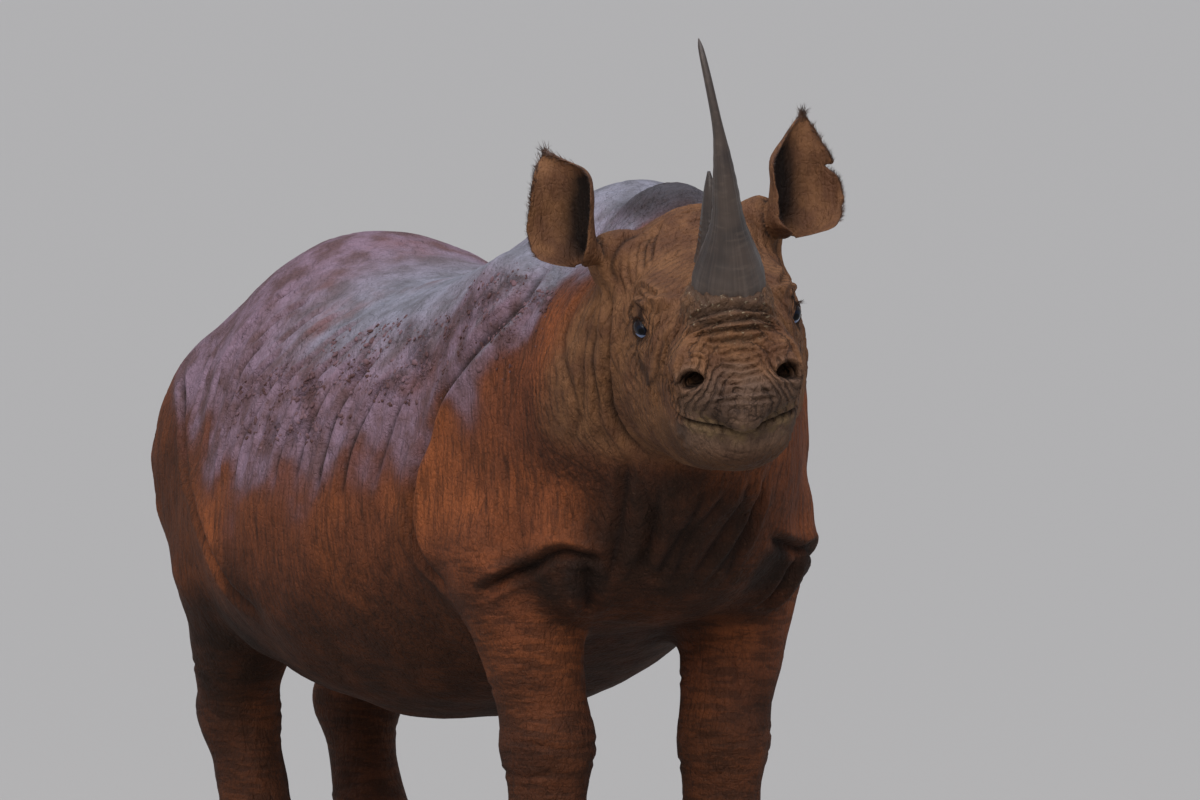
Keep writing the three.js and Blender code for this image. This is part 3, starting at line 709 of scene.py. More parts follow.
def flank_folds(side):
    """The folds of one side of neck and trunk; side is 1 for the right, where x is negative."""
    folds = []
    seed = 50 + side

    def on(line):
        return np.array(line, float) * [side, 1, 1]

    def on_neck(line):
        """On the neck, which leads off to the animal's right, the left side is not simply mirrored."""
        line = np.array(line, float)
        if side < 0:
            x, y, _ = np.array([NECK_NAPE, NECK_MIDDLE, NECK_ROOT]).T
            line[:, 0] = 2 * through(y, x, line[:, 1]) - line[:, 0]
        return line

    # behind the cheek
    crease = [(-184, 207, 40), (-130, 205, -20), (-116, 207, -95), (-132, 205, -215)]
    crease += [(-128, 176, -285), (-120, 125, -332)]
    folds.append(fold(on_head(mirror(crease, -side)), 12, 17, 0.3, 0.2))
    # round the neck, close behind it
    folds += folds_between(
        on_neck(NECK_FOLD_FIRST),
        on_neck(NECK_FOLD_LAST),
        3, 10, 7, 14, seed, 0.4, 0.35,
    )
    # the rear edge of the shoulder, and the hollow behind it
    edge = [(-215, -640, 1440), (-300, -675, 1320), (-355, -585, 1225), (-378, -470, 1120)]
    edge.append((-388, -400, 1000))
    folds.append(fold(on(edge), 17, 12, 0.45, 0.2, lift=8, toward=(0, -1, 0)))
    edge = [(-383, -445, 1080), (-390, -395, 980), (-392, -380, 870), (-388, -410, 790)]
    edge.append((-376, -470, 710))
    folds.append(fold(on(edge), 19, 26, 0.3, 0.25, lift=16, toward=(0, -1, 0)))
    # down the flank
    folds += folds_between(
        on([(-345, -310, 1200), (-380, -280, 1110), (-412, -258, 1010), (-424, -240, 890)]),
        on([(-365, 265, 1210), (-422, 325, 1110), (-460, 328, 1020), (-487, 330, 900)]),
        8, 9, 10, 8, seed + 4,
    )
    folds += folds_between(
        on([(-290, -120, 1262), (-345, -90, 1200), (-392, -62, 1130)]),
        on([(-250, 420, 1330), (-318, 470, 1262), (-372, 500, 1190)]),
        7, 8, 7, 9, seed + 6,
    )
    # over the hip and the haunch
    folds += folds_between(
        on([(-345, 345, 1230), (-400, 400, 1155), (-435, 395, 1075), (-470, 380, 975)]),
        on([(-335, 775, 1165), (-380, 705, 1080), (-402, 660, 985), (-435, 545, 900)]),
        4, 10, 11, 8, seed + 8,
    )
    folds += folds_between(
        on([(-250, 900, 1040), (-300, 860, 930), (-330, 790, 830)]),
        on([(-200, 960, 990), (-250, 920, 880), (-280, 850, 780)]),
        2, 11, 8, 8, seed + 10,
    )
    # between the belly and the thigh
    crease = [(-390, 700, 1050), (-440, 540, 920), (-470, 370, 790), (-462, 265, 695), (-425, 190, 640)]
    folds.append(fold(on(crease), 19, 24, 0.3, 0.25, lift=10, toward=(0, -1, 0.4)))
    # the pit of the elbow, under the roll of the upper arm, and the edge of the arm against the breast
    crease = [(-366, -600, 732), (-350, -655, 758), (-313, -726, 791), (-284, -805, 824)]
    if side > 0:
        crease += [(-240, -845, 812), (-190, -865, 800)]
    else:
        crease += [(-250, -835, 818), (-187, -875, 832), (-110, -932, 856)]
    folds.append(fold(on(crease), 11, 17, 0.3, 0.2, lift=9, toward=(0, -0.3, 1)))
    crease = [(-250, -838, 812), (-232, -825, 770), (-215, -799, 728), (-190, -755, 660)]
    folds.append(fold(on(crease), 15, 20))
    return folds


def leg_folds(side):
    """Creases round the legs of one side, at the joints and above the feet."""
    for name, (leg_side, foot_x, foot_y) in LEGS.items():
        if leg_side != -side:
            continue
        fore = name.startswith("fore")
        for k, z in enumerate(FORE_FOLDS if fore else HIND_FOLDS):
            back = foot_y - HIND_Y
            bent = [foot_y + 10, foot_y + 88, foot_y + 40, 660 + back * 0.5]
            middle = foot_y if fore else through([150, 405, 560, 700], bent, z)
            centre = np.array([leg_side * (foot_x + (6 if z > 430 else 0)), middle, z])
            start = (k * 137) % 360
            ring = arc(centre, (1, 0, 0), (0, 1, 0.12), 105 if z > 450 else 84, start, start + 250)
            yield fold(ring + ripple(ring, 90, k)[:, None] * [0, 0, 12], 6, 3.2, 0.5, 0.35)


def body_folds():
    """Every fold of neck, trunk and legs, as rough places in the working frame, and its shape."""
    folds = [*flank_folds(1), *leg_folds(1), *flank_folds(-1), *leg_folds(-1)]
    # down the breast
    folds += folds_between(
        [(-235, -1000, 1010), (-220, -950, 880), (-185, -845, 760)],
        [(90, -1000, 1010), (60, -960, 880), (20, -880, 760)],
        8, 12, 8, 11, 77,
    )
    return folds


CRUST_ROUND = 72  # from the front horn's middle to the edge of the crust round its foot
CRUST_AT = 158  # where the raised crust's middle lies along the head


def relief(p):
    """The small and the broad relief of the hide, before its folds, in millimetres."""
    q = in_head(p)
    on_the_head = smooth(-330, -250, q[:, 0])
    body = 1 - on_the_head
    out = body * (3.2 * ripple(p, 260, 1) + 1.2 * ripple(p, 90, 2))
    upright = p * [1, 1, 0.3]
    neck = smooth(-560, -700, p[:, 1]) * body
    out -= neck * 1.6 * cracks(upright, 46, 3, 0.2)
    out -= body * 0.9 * cracks(p, 75, 5, 0.16)
    long = q * [0.55, 1, 1]
    out += on_the_head * (0.9 * ripple(q, 48, 6) - 1.4 * cracks(long, 34, 7) - 1.0 * cracks(q, 22, 8, 0.2))
    ring = np.hypot((q[:, 0] - CRUST_AT) / 1.1, q[:, 1]) / CRUST_ROUND
    crumbs = ripple(q, 15, 9)
    out += on_the_head * smooth(0, 60, q[:, 2]) * (20 + 3 * crumbs) * smooth(1.42, 0.98, ring) ** 2
    return out


# ---------------------------------------------------------------- lids, nostrils and mouth
LID = 26.6  # from the middle of the eye to the outside of the lids
EYE_HALF_OPEN = 64  # degrees from the middle of the opening to its corners
LID_UP, LID_DOWN = 56, 54  # degrees that the lids stand open at the middle
GAZE = 34  # degrees that the opening faces forward of straight out
LOOK = 64  # degrees that the pupil looks forward of straight out


def eye_frame(side, degrees=GAZE):
    """An eye's middle, and its own directions in the head's frame: outward, forward and up."""
    turn = np.radians(degrees)
    outward = np.array([np.sin(turn), np.cos(turn) * side, 0])
    forward = np.array([np.cos(turn), -np.sin(turn) * side, 0])
    return np.array([0, EYE_SPREAD * side, 0.0]), outward, forward, np.array([0, 0, 1.0])


def lid_margin(q, side):
    """How far round the eyeball each place lies outside the opening of the lids, in millimetres, with its
    direction from the eye: 0 forward, 90 up. Negative inside the opening."""
    centre, outward, forward, up = eye_frame(side)
    away = q - centre
    ahead = np.degrees(np.arctan2(away @ forward, away @ outward))
    above = np.degrees(np.arctan2(away @ up, away @ outward))
    share = np.clip(np.abs(ahead + 0.12 * above) / EYE_HALF_OPEN, 0, 1.6)
    lid = np.where(above > 0, LID_UP, LID_DOWN)
    rim = lid * np.sqrt(np.clip(1 - share**2, 0.0, 1))
    inner = (np.abs(above) - rim) * EYE_RADIUS * np.pi / 180
    outer = (share - 1) * EYE_HALF_OPEN * EYE_RADIUS * np.pi / 180
    gap = np.where(share < 1, np.maximum(inner, outer), np.hypot(np.maximum(outer, 0), above * 0.4))
    gap = np.where(away @ outward < 0, 60.0, gap)
    return gap, np.degrees(np.arctan2(away @ up, away @ forward)), np.linalg.norm(away, axis=1)


def round_eye(p, side, shadow):
    """Lids over the eyeball, with their edges, and the folds round them, which also darken the shadow."""
    q = in_head(p)
    centre = eye_frame(side)[0]
    near = np.flatnonzero(np.linalg.norm(q - centre, axis=1) < 120)
    spot = q[near]
    gap, bearing, far = lid_margin(spot, side)
    away = (spot - centre) / far[:, None]
    # the lids close over the ball
    lids = far + (np.maximum(far, LID) - far) * smooth(34, 16, gap)
    lids = np.where(far < LID + 8, LID + (lids - LID) * smooth(4, 16, gap), lids)
    # folds in rings round the opening: how far out, how wide, how deep, and which way they face
    rings = [
        (-2.2, 2.2, -1.6, 0, 360),
        (8.0, 2.8, 4.0, 15, 165),
        (16.0, 3.2, 3.6, 5, 190),
        (9.0, 2.8, 3.0, 185, 350),
        (18.0, 3.4, 5.0, 190, 385),
        (29.0, 4.0, 6.0, 200, 395),
        (42.0, 4.8, 6.0, 215, 390),
        (56.0, 5.4, 5.0, 225, 380),
    ]
    reach = far - LID
    for out, width, depth, start, stop in rings:
        middle, half = (start + stop) / 2, (stop - start) / 2
        turn = np.abs((bearing - middle + 180) % 360 - 180)
        window = smooth(half, half - 35, turn) if half < 180 else 1.0
        wobble = 1.6 * np.sin(np.radians(bearing * 3 + out * 20))
        x = (np.where(gap < 50, gap, reach + 10) - out - wobble) / width
        lids -= depth * window * (np.exp(-np.abs(x) ** 1.6) - 0.45 * np.exp(-(((np.abs(x) - 2) / 0.9) ** 2)))
        if depth > 0:
            shadow[near] = np.maximum(shadow[near], 0.9 * window * np.exp(-np.abs(x * 1.3) ** 1.6))
    # inside the opening the skin dips under the ball
    open_part = smooth(0.9, -0.9, gap)
    lids = np.where(far < 60, lids + (EYE_RADIUS - 1.8 - lids) * open_part, lids)
    blend = smooth(118, 70, far)
    spot = centre + away * (far + (lids - far) * blend)[:, None]
    p[near] = on_head(spot)
    return p


NOSTRIL_AT = (300, 96, 4)
NOSTRIL_WIDE, NOSTRIL_TALL, NOSTRIL_DEEP = 26.0, 17.0, 44  # half width, half height and depth


def hollow_nostril(p, side):
    """A slanted, comma-shaped hollow with a thick rolled rim."""
    q = in_head(p)
    centre = mirror(NOSTRIL_AT, side)
    inward = np.array([-0.86, -0.42 * side, -0.28])
    inward /= np.linalg.norm(inward)
    wide = np.array([-0.45, 0.80 * side, -0.36])
    wide -= wide @ inward * inward
    wide /= np.linalg.norm(wide)
    tall = np.cross(inward, wide) * side
    away = q - centre
    near = np.flatnonzero(np.linalg.norm(away, axis=1) < 80)
    a, b = away[near] @ wide, away[near] @ tall
    b = b - 0.007 * a * a  # the comma bends
    ring = np.hypot(a / NOSTRIL_WIDE, b / NOSTRIL_TALL)
    sink = NOSTRIL_DEEP * smooth(1.08, 0.5, ring) ** 0.8
    roll = 5.0 * np.exp(-(((ring - 1.4) / 0.24) ** 2))
    q[near] += sink[:, None] * inward - roll[:, None] * inward
    return on_head(q)


# ---------------------------------------------------------------- ears
EAR_LEVELS = [0, 0.1, 0.2, 0.32, 0.5, 0.7, 0.85, 0.95, 1]  # shares of the length, from the root
EAR_ROLL = [160, 140, 118, 98, 84, 74, 62, 50, 40]  # how far round each half goes, in degrees
EAR_THICK = [10, 8, 7, 6, 5, 4.5, 4, 3.5, 3]  # half the thickness of the sheet
EAR_BACK = 14  # degrees backward
RIM_DIP = 26  # how far the rims hang below the middle line, halfway up
EARS = {
    "right": dict(
        side=-1,
        root=(-206, -212, 60),  # in the head's frame
        length=224,
        splay=4,  # degrees that it leans out
        open=40,  # degrees that its hollow faces outward of forward
        radius=[22, 42, 58, 67, 74, 76, 71, 40, 13],  # of the sheet's roll, at each of EAR_LEVELS
        outward=[0, 8, 20, 26, 28, 20, 24, 58, 74],  # of its middle, at each of EAR_LEVELS
    ),
    "left": dict(
        side=1,
        root=(-206, 148, 80),
        length=240,
        splay=5.5,
        open=26,
        radius=[22, 48, 68, 77, 80, 75, 44, 22, 8],
        outward=[0, 10, 18, 26, 33, 29, 45, 56, 61],
    ),
}


def in_ear(ear, level, across, inner):
    """A place in an ear's sheet: a level from root to tip, across from rim (-1) to rim (1), and through the
    sheet from its back (-1) to its hollow (1)."""
    side = ear["side"]
    splay, opened = np.radians([ear["splay"], ear["open"]])
    axis = np.array([-np.tan(np.radians(EAR_BACK)), np.sin(splay) * side, np.cos(splay)]) @ HEAD
    axis /= np.linalg.norm(axis)
    facing = np.array([np.cos(opened), np.sin(opened) * side, 0]) @ HEAD
    facing -= facing @ axis * axis
    facing /= np.linalg.norm(facing)
    to_left = np.cross(axis, facing)
    radius, outward, roll, thick = (
        through(EAR_LEVELS, values, level) for values in (ear["radius"], ear["outward"], EAR_ROLL, EAR_THICK)
    )
    edge = across * across
    angle = across * np.radians(roll)
    r = radius - inner * thick * (1 - 0.45 * edge)
    dip = RIM_DIP * edge * np.sin(np.pi * np.minimum(level * 1.15, 1))
    return (
        on_head(ear["root"])
        + axis * (ear["length"] * level - dip)[:, None]
        + to_left * (r * np.sin(angle) + outward * side)[:, None]
        + facing * (radius - r * np.cos(angle))[:, None]
    )


EAR_STEPS = 54  # from root to tip
EAR_ROUND = 30  # places across the back, and as many across the hollow
TEAR = 0.30  # how deep the old tear in the left ear's outer rim goes, as a share of the half width
TEAR_AT, TEAR_WIDE = 0.63, 0.032  # how far up it is, and how wide, as shares of the length


def torn(level):
    """1 at the level of the tear, 0 away from it."""
    return np.exp(-(((level - TEAR_AT) / TEAR_WIDE) ** 2))


def ear_shell(name):
    """An ear as a closed mesh: rings of places round its sheet, from the root to the tip."""
    ear = EARS[name]
    level = np.linspace(0, 1, EAR_STEPS + 1)
    t, w = (a.ravel() for a in np.meshgrid(level, full_turn(2 * EAR_ROUND), indexing="ij"))
    across = np.sign(np.cos(w)) * np.abs(np.cos(w)) ** 0.8
    inner = np.sign(np.sin(w)) * np.minimum(np.abs(np.sin(w)) * 2.6, 1) ** 0.6
    ragged = 1 + 0.03 * ripple(np.stack([t * 240, across * 40, np.zeros(len(t))], 1), 26, 90 + ear["side"])
    if name == "left":
        ragged -= TEAR * torn(t) * smooth(0.2, 1, across * ear["side"])
    across = across * ragged
    # the hollow has low ridges that run up it, and the back is a little lumpy
    ridges = np.where(inner > 0, 1.6 * np.sin(across * 11 + 1) * smooth(0.1, 0.3, t), 0)
    ridges += 0.9 * ripple(np.stack([t * 200, across * 90, inner * 5], 1), 42, 95)
    thick = through(EAR_LEVELS, EAR_THICK, t)
    p = in_ear(ear, t, across, inner * (1 + ridges * 0.35 / thick))
    faces = tube(EAR_STEPS + 1, 2 * EAR_ROUND)
    for start in (0, EAR_STEPS * 2 * EAR_ROUND):
        end = start + 2 * EAR_ROUND - 1
        for k in range(EAR_ROUND - 1):
            strip = [start + k, start + k + 1, end - k - 1, end - k]
            faces.append(strip if start else strip[::-1])
    return p, faces


def outward_mesh(name, p, faces):
    """A closed mesh with its faces turned outwards."""
    mesh = mesh_of(name, p, faces)
    bm = bmesh.new()
    bm.from_mesh(mesh)
    bmesh.ops.recalc_face_normals(bm, faces=bm.faces)
    if bm.calc_volume(signed=True) < 0:
        bmesh.ops.reverse_faces(bm, faces=bm.faces)
    bm.to_mesh(mesh)
    bm.free()
    return mesh


def show(name, data):
    """An object for a mesh, a light or a camera, in the scene."""
    piece = bpy.data.objects.new(name, data)
    bpy.context.scene.collection.objects.link(piece)
    return piece


def applied(piece):
    """Turns a piece's modifiers into its mesh."""
    graph = bpy.context.evaluated_depsgraph_get()
    mesh = bpy.data.meshes.new_from_object(piece.evaluated_get(graph))
    piece.modifiers.clear()
    old = piece.data
    piece.data = mesh
    bpy.data.meshes.remove(old)
    mesh.name = piece.name
    return piece


def join_ears(skin):
    """Grows the ears out of the head."""
    for name in EARS:
        shell = show("ear_shell", outward_mesh("ear_shell", *ear_shell(name)))
        cut = skin.modifiers.new("ear", "BOOLEAN")
        cut.object, cut.operation, cut.solver = shell, "UNION", "MANIFOLD"
        applied(skin)
        bpy.data.objects.remove(shell)


def relax(mesh, weight, rounds):
    """Moves each place toward the middle of its neighbours, as far as its weight says."""
    p = places_of(mesh)
    one, other = gathered(mesh.edges, "vertices", 2, np.int32).T
    count = (np.bincount(one, minlength=len(p)) + np.bincount(other, minlength=len(p))).astype(float)[:, None]
    for _ in range(rounds):
        total = np.stack([
            np.bincount(one, p[other, k], len(p)) + np.bincount(other, p[one, k], len(p))
            for k in range(3)
        ], 1)
        p += (total / np.maximum(count, 1) - p) * weight[:, None]
    put(mesh, p)


# ---------------------------------------------------------------- the skin
def normals_of(p):
    """The outward directions of the flesh at some places."""
    steep = slope_of(flesh, p)[1]
    return steep / np.maximum(np.linalg.norm(steep, axis=1), 1e-6)[:, None]


def sculpt(mesh):
    """Relief, folds, lids, nostrils and mouth."""
    p = places_of(mesh)
    out = relief(p)
    folds = head_folds() + body_folds()
    shadow = np.zeros(len(p))
    for crease, line in zip(folds, lines_over([crease["points"] for crease in folds])):
        shape = {key: value for key, value in crease.items() if key != "points"}
        out += groove(p, line, **shape)
        # a painted shadow along each fold, stronger for deeper folds
        fold_shadow = -groove(p, line, crease["width"] * 0.75, 1.0, 0.0, crease["fade"])
        shadow = np.maximum(shadow, fold_shadow * np.clip(crease["depth"] / 10, 0, 1))
    out *= smooth(0, 30, p[:, 2])
    for side in (-1, 1):
        out *= smooth(30, 50, np.linalg.norm(p - on_head(eye_frame(side)[0]), axis=1))
    p = p + normals_of(p) * out[:, None]
    for side in (-1, 1):
        p = round_eye(p, side, shadow)
        p = hollow_nostril(p, side)
    put(mesh, p)
    # the shadow painted along the folds, which the hide's finish reads as crease
    carry(mesh, "crease", shadow)


def make_skin():
    """The whole skin with its ears, thinned, in metres."""
    skin = show("skin", bare_flesh())
    sculpt(skin.data)
    join_ears(skin)
    q = in_head(places_of(skin.data))
    near_ear = np.zeros(len(q))
    for ear in EARS.values():
        root = np.array(ear["root"], float)
        near_ear = np.maximum(near_ear, smooth(95, 50, np.linalg.norm(q - root - [8, 0, 22], axis=1)))
    relax(skin.data, near_ear * 0.5, 12)
    thin = skin.modifiers.new("thin", "DECIMATE")
    count = sum(len(face.vertices) - 2 for face in skin.data.polygons)
    thin.ratio = min(1, LIMIT / count * 0.98)
    thin.use_collapse_triangulate = True
    applied(skin)
    put(skin.data, to_frame(places_of(skin.data)))
    skin.data.shade_smooth()
    return skin


# ---------------------------------------------------------------- finishes
def linear(hex_colour):
    """An sRGB hex colour as linear red, green, blue, and full opacity."""
    parts = [int(hex_colour[i : i + 2], 16) / 255 for i in (1, 3, 5)]
    return tuple(c / 12.92 if c <= 0.04045 else ((c + 0.055) / 1.055) ** 2.4 for c in parts) + (1.0,)


def add(tree, kind, inputs=None, **settings):
    """Adds a node, sets it up, and gives its sockets values or links from other nodes' sockets."""
    node = tree.nodes.new(kind)
    for name, value in settings.items():
        setattr(node, name, value)
    for name, value in (inputs or {}).items():
        if isinstance(value, bpy.types.NodeSocket):
            tree.links.new(value, node.inputs[name])
        else:
            node.inputs[name].default_value = value
    return node


def tree_of(values):
    """The node tree of the first socket among some values."""
    return next(value.id_data for value in values if isinstance(value, bpy.types.NodeSocket))


def reckon(operation, *values):
    """One step of arithmetic on sockets and numbers."""
    return add(tree_of(values), "ShaderNodeMath", dict(enumerate(values)), operation=operation).outputs[0]


def plus(*values):
    """A sum of sockets and numbers."""
    return reduce(partial(reckon, "ADD"), values)


def times(*values):
    """A product of sockets and numbers."""
    return reduce(partial(reckon, "MULTIPLY"), values)


def less(first, second):
    """What is left of one value when another is taken away."""
    return reckon("SUBTRACT", first, second)


def band(value, low, high):
    """0 where a value is at low or beyond it, 1 at high, and an even bend between."""
    ranged = {"Value": value, "From Min": low, "From Max": high}
    return add(value.id_data, "ShaderNodeMapRange", ranged, interpolation_type="SMOOTHSTEP").outputs[0]


def reckon_way(operation, *values):
    """One step of arithmetic on places and directions."""
    return add(tree_of(values), "ShaderNodeVectorMath", dict(enumerate(values)), operation=operation)


def reading(tree, name):
    """A value that the piece's mesh carries at each place."""
    return add(tree, "ShaderNodeAttribute", attribute_name=name).outputs["Fac"]


def places_on(tree):
    """Where each place of the piece lies, in metres."""
    return add(tree, "ShaderNodeTexCoord").outputs["Object"]


def blended(share, first, second):
    """One colour over another, by a share."""
    first, second = (linear(colour) if isinstance(colour, str) else colour for colour in (first, second))
    return add(share.id_data, "ShaderNodeMix", {0: share, 6: first, 7: second}, data_type="RGBA").outputs[2]


def layered(colour, *layers):
    """A colour with others laid over it in turn, each one by its share."""
    for share, over in layers:
        colour = blended(share, colour, over)
    return colour


def scaled(place, scale):
    """Places for a pattern that is smaller by a scale along each axis."""
    return add(place.id_data, "ShaderNodeMapping", {"Vector": place, "Scale": scale}).outputs[0]


def noise(place, scale, detail, rough=0.5):
    """Soft noise over places."""
    inputs = {"Vector": place, "Scale": scale, "Detail": detail, "Roughness": rough}
    return add(place.id_data, "ShaderNodeTexNoise", inputs).outputs["Fac"]


def spots(place, size_mm, stretch=(1, 1, 1), detail=3.0, rough=0.55):
    """Soft noise with lumps of a real size; stretch makes them longer that way."""
    return noise(scaled(place, tuple(1 / s for s in stretch)), 1000 / size_mm / 2, detail, rough)


def cells(place, size_mm, feature, stretch, wander):
    """Cells of a real size: rounded pebbles with F1, the seams between them with DISTANCE_TO_EDGE."""
    strayed = reckon_way("ADD", place, wander).outputs[0]
    inputs = {"Vector": scaled(strayed, tuple(1 / s for s in stretch)), "Scale": 1000 / size_mm}
    return add(place.id_data, "ShaderNodeTexVoronoi", inputs, feature=feature).outputs["Distance"]


def finish(name, **constants):
    """A new material, its node tree, and its shader with some constant inputs."""
    material = bpy.data.materials.new(name)
    material.use_nodes = True
    shader = material.node_tree.nodes["Principled BSDF"]
    for socket, value in constants.items():
        shader.inputs[socket.replace("_", " ")].default_value = value
    return material, material.node_tree, shader


def wear(shader, colour, rough=None, height=None, strength=1.0, unit=0.001):
    """Gives a shader its colour, its roughness, and a relief in a unit of so many metres."""
    tree = shader.id_data
    tree.links.new(colour, shader.inputs["Base Color"])
    if rough is not None:
        tree.links.new(rough, shader.inputs["Roughness"])
    if height is not None:
        bump = add(tree, "ShaderNodeBump", {"Height": height, "Distance": unit, "Strength": strength})
        tree.links.new(bump.outputs[0], shader.inputs["Normal"])


# ---------------------------------------------------------------- the hide's finish
HIDE_MARKS = ["dust", "sky", "dark", "muzzle", "hollow", "head", "leg", "ochre", "ear_hollow", "crust"]
HIDE_MARKS += ["crease", "mud", "horn_foot", "wrinkle_phase", "wrinkled"]  # what the skin's mesh carries
WRINKLE_STRAY = 2.6  # how many wrinkles' widths the fine wrinkles stray


def hide_grain(place, on):
    """The patterns that the hide's colour and its relief share."""
    cloud = add(place.id_data, "ShaderNodeTexNoise", {"Vector": place, "Scale": 60.0}).outputs["Color"]
    shift = reckon_way("MULTIPLY", cloud, (0.012, 0.012, 0.012)).outputs[0]
    middling = spots(place, 34, detail=5)
    phase = reckon("FRACT", plus(on.wrinkle_phase, times(spots(place, 30, detail=4), WRINKLE_STRAY)))
    return SimpleNamespace(
        shift=shift,
        middling=middling,
        broad=spots(place, 170, detail=4),
        level=spots(place, 7, (5, 5, 1), detail=4),
        off_leg=less(1.0, on.leg),
        crinkle=reckon("ABSOLUTE", less(spots(place, 30, (1, 1, 3.2), detail=4), 0.5)),
        crumbs=spots(place, 15, detail=6, rough=0.7),
        specks=times(on.crust, band(spots(place, 5, detail=3), 0.6, 0.7)),
        net=cells(place, 10, "DISTANCE_TO_EDGE", (1, 1, 1.7), shift),
        bare=times(less(1.0, on.head), less(1.0, on.dust), middling, 0.5),
        from_wrinkle=reckon("ABSOLUTE", less(phase, 0.5)),
        broken=band(spots(place, 40, detail=3), 0.34, 0.52),
    )


def hide_mud(on, grain):
    """The mud that dried on the back: mauve, partly its own colour and partly a painted sheen of the sky,
    with the sky's grey reflection painted where it faces up, and browner where it is caked.
    """
    mauve = blended(band(grain.middling, 0.34, 0.66), "#5f4647", "#7f6773")
    painted_sky_sheen = blended(band(grain.middling, 0.32, 0.68), "#6c6a70", "#85838d")
    caked = times(on.mud, band(grain.crumbs, 0.56, 0.46), 0.5)
    # the grey laid where the mud faces up is a painted reflection of the sky
    mauve = layered(mauve, (on.sky, painted_sky_sheen), (band(grain.broad, 0.55, 0.74), "#6d4640"), (caked, "#4a302d"))
    return blended(band(on.dust, 0.3, 0.95), "#613a2f", mauve)


def hide_colour(place, on, grain):
    """Laterite red, browner on the head, with mud over the back that carries a painted sheen of the sky, and
    painted shade below and in every fold.
    """
    rust = blended(band(grain.broad, 0.38, 0.62), "#6b3b24", "#884b29")
    warm = blended(band(grain.middling, 0.36, 0.64), "#5c3d2a", "#745035")
    nose = blended(band(grain.middling, 0.35, 0.65), "#4b392e", "#664f40")
    streaks = times(band(spots(place, 9, (1, 1, 7), detail=4), 0.5, 0.72), less(0.55, times(on.head, 0.38)))
    patchy = band(plus(on.dust, times(grain.middling, 0.6)), 0.42, 1.05)
    wrinkle = times(band(grain.from_wrinkle, 0.11, 0.0), on.wrinkled, grain.broken)
    weak = plus(times(on.dust, 0.3), times(on.head, 0.28))
    scratches = times(band(spots(place, 4.5, (1, 1, 9), detail=3), 0.5, 0.4), less(0.42, weak))
    return layered(
        blended(on.head, rust, warm),
        (times(streaks, grain.off_leg), "#3a241a"),
        (times(band(grain.level, 0.54, 0.44), 0.45, on.leg), "#2a1a12"),
        # painted shade: underneath, in the lee of the legs and under the chin, and darker toward the ground
        (times(on.dark, plus(0.66, times(grain.middling, 0.5))), "#25170f"),
        (patchy, hide_mud(on, grain)),
        (on.muzzle, nose),
        (times(on.ochre, band(grain.middling, 0.2, 0.6)), "#6f5a40"),
        (times(on.crust, 0.65), "#5a4535"),
        (grain.specks, "#9c8a70"),
        (times(on.horn_foot, 0.45), "#41362f"),
        # painted shadow deep in the hollows of the ears
        (times(on.ear_hollow, 0.97), "#0d0806"),
        (times(band(grain.crinkle, 0.03, 0.0), 0.12), "#21150f"),
        # painted shadow in the pits of the body, at the rims of the lids and in the nostrils
        (times(on.hollow, 0.88), "#1c120d"),
        # painted shadow along the folds
        (times(band(on.crease, 0.15, 0.9), 0.74), "#1a100c"),
        (times(band(spots(place, 4, detail=3), 0.6, 0.76), 0.1), "#8f6f56"),
        (times(band(grain.net, 0.14, 0.0), grain.bare), "#20140e"),
        # painted shade in the fine wrinkles of the face
        (times(wrinkle, 0.75), "#1c120d"),
        (times(scratches, grain.off_leg), "#2a1a12"),
    )


def hide_relief(place, on, grain):
    """The hide's finest relief, in millimetres: cells and pebbles, lines, clods of mud and wrinkles."""
    seams = cells(place, 14, "DISTANCE_TO_EDGE", (1, 1, 1.6), grain.shift)
    pebbles = cells(place, 8, "F1", (1, 1, 1), grain.shift)
    upright = times(spots(place, 7, (1, 1, 7), detail=4), grain.off_leg)
    lines = plus(upright, times(grain.level, on.leg))
    clods = times(on.dust, band(spots(place, 22, detail=5, rough=0.65), 0.5, 0.62))
    wrinkle = times(band(grain.from_wrinkle, 0.34, 0.0), on.wrinkled, grain.broken)
    height = plus(times(band(grain.crinkle, 0.0, 0.05), 1.4), times(band(seams, 0.0, 0.12), 0.7))
    height = plus(less(height, times(pebbles, 1.3)), times(lines, 6.0), times(clods, 2.2))
    height = plus(height, times(band(grain.net, 0.0, 0.2), plus(0.3, grain.bare)))
    height = less(height, times(wrinkle, 6.0))
    return plus(height, times(on.mud, times(band(grain.crumbs, 0.42, 0.6), 6)), grain.specks)


def hide():
    """Rhinoceros hide under red laterite dust: thick bare skin, cracked into small cells and creased. Dry mud
    lies mauve over the back, with a painted grey sheen of the sky where it faces up; shade is painted below,
    in its folds and pits, and the skin is darker round the mouth."""
    material, tree, shader = finish("dusty_rhinoceros_hide", IOR=1.4, Specular_IOR_Level=0.22)
    place = places_on(tree)
    on = SimpleNamespace(**{name: reading(tree, name) for name in HIDE_MARKS})
    grain = hide_grain(place, on)
    rough = plus(less(0.66, times(on.dust, 0.1)), times(grain.middling, 0.16))
    wear(shader, hide_colour(place, on, grain), rough, hide_relief(place, on, grain))
    return material


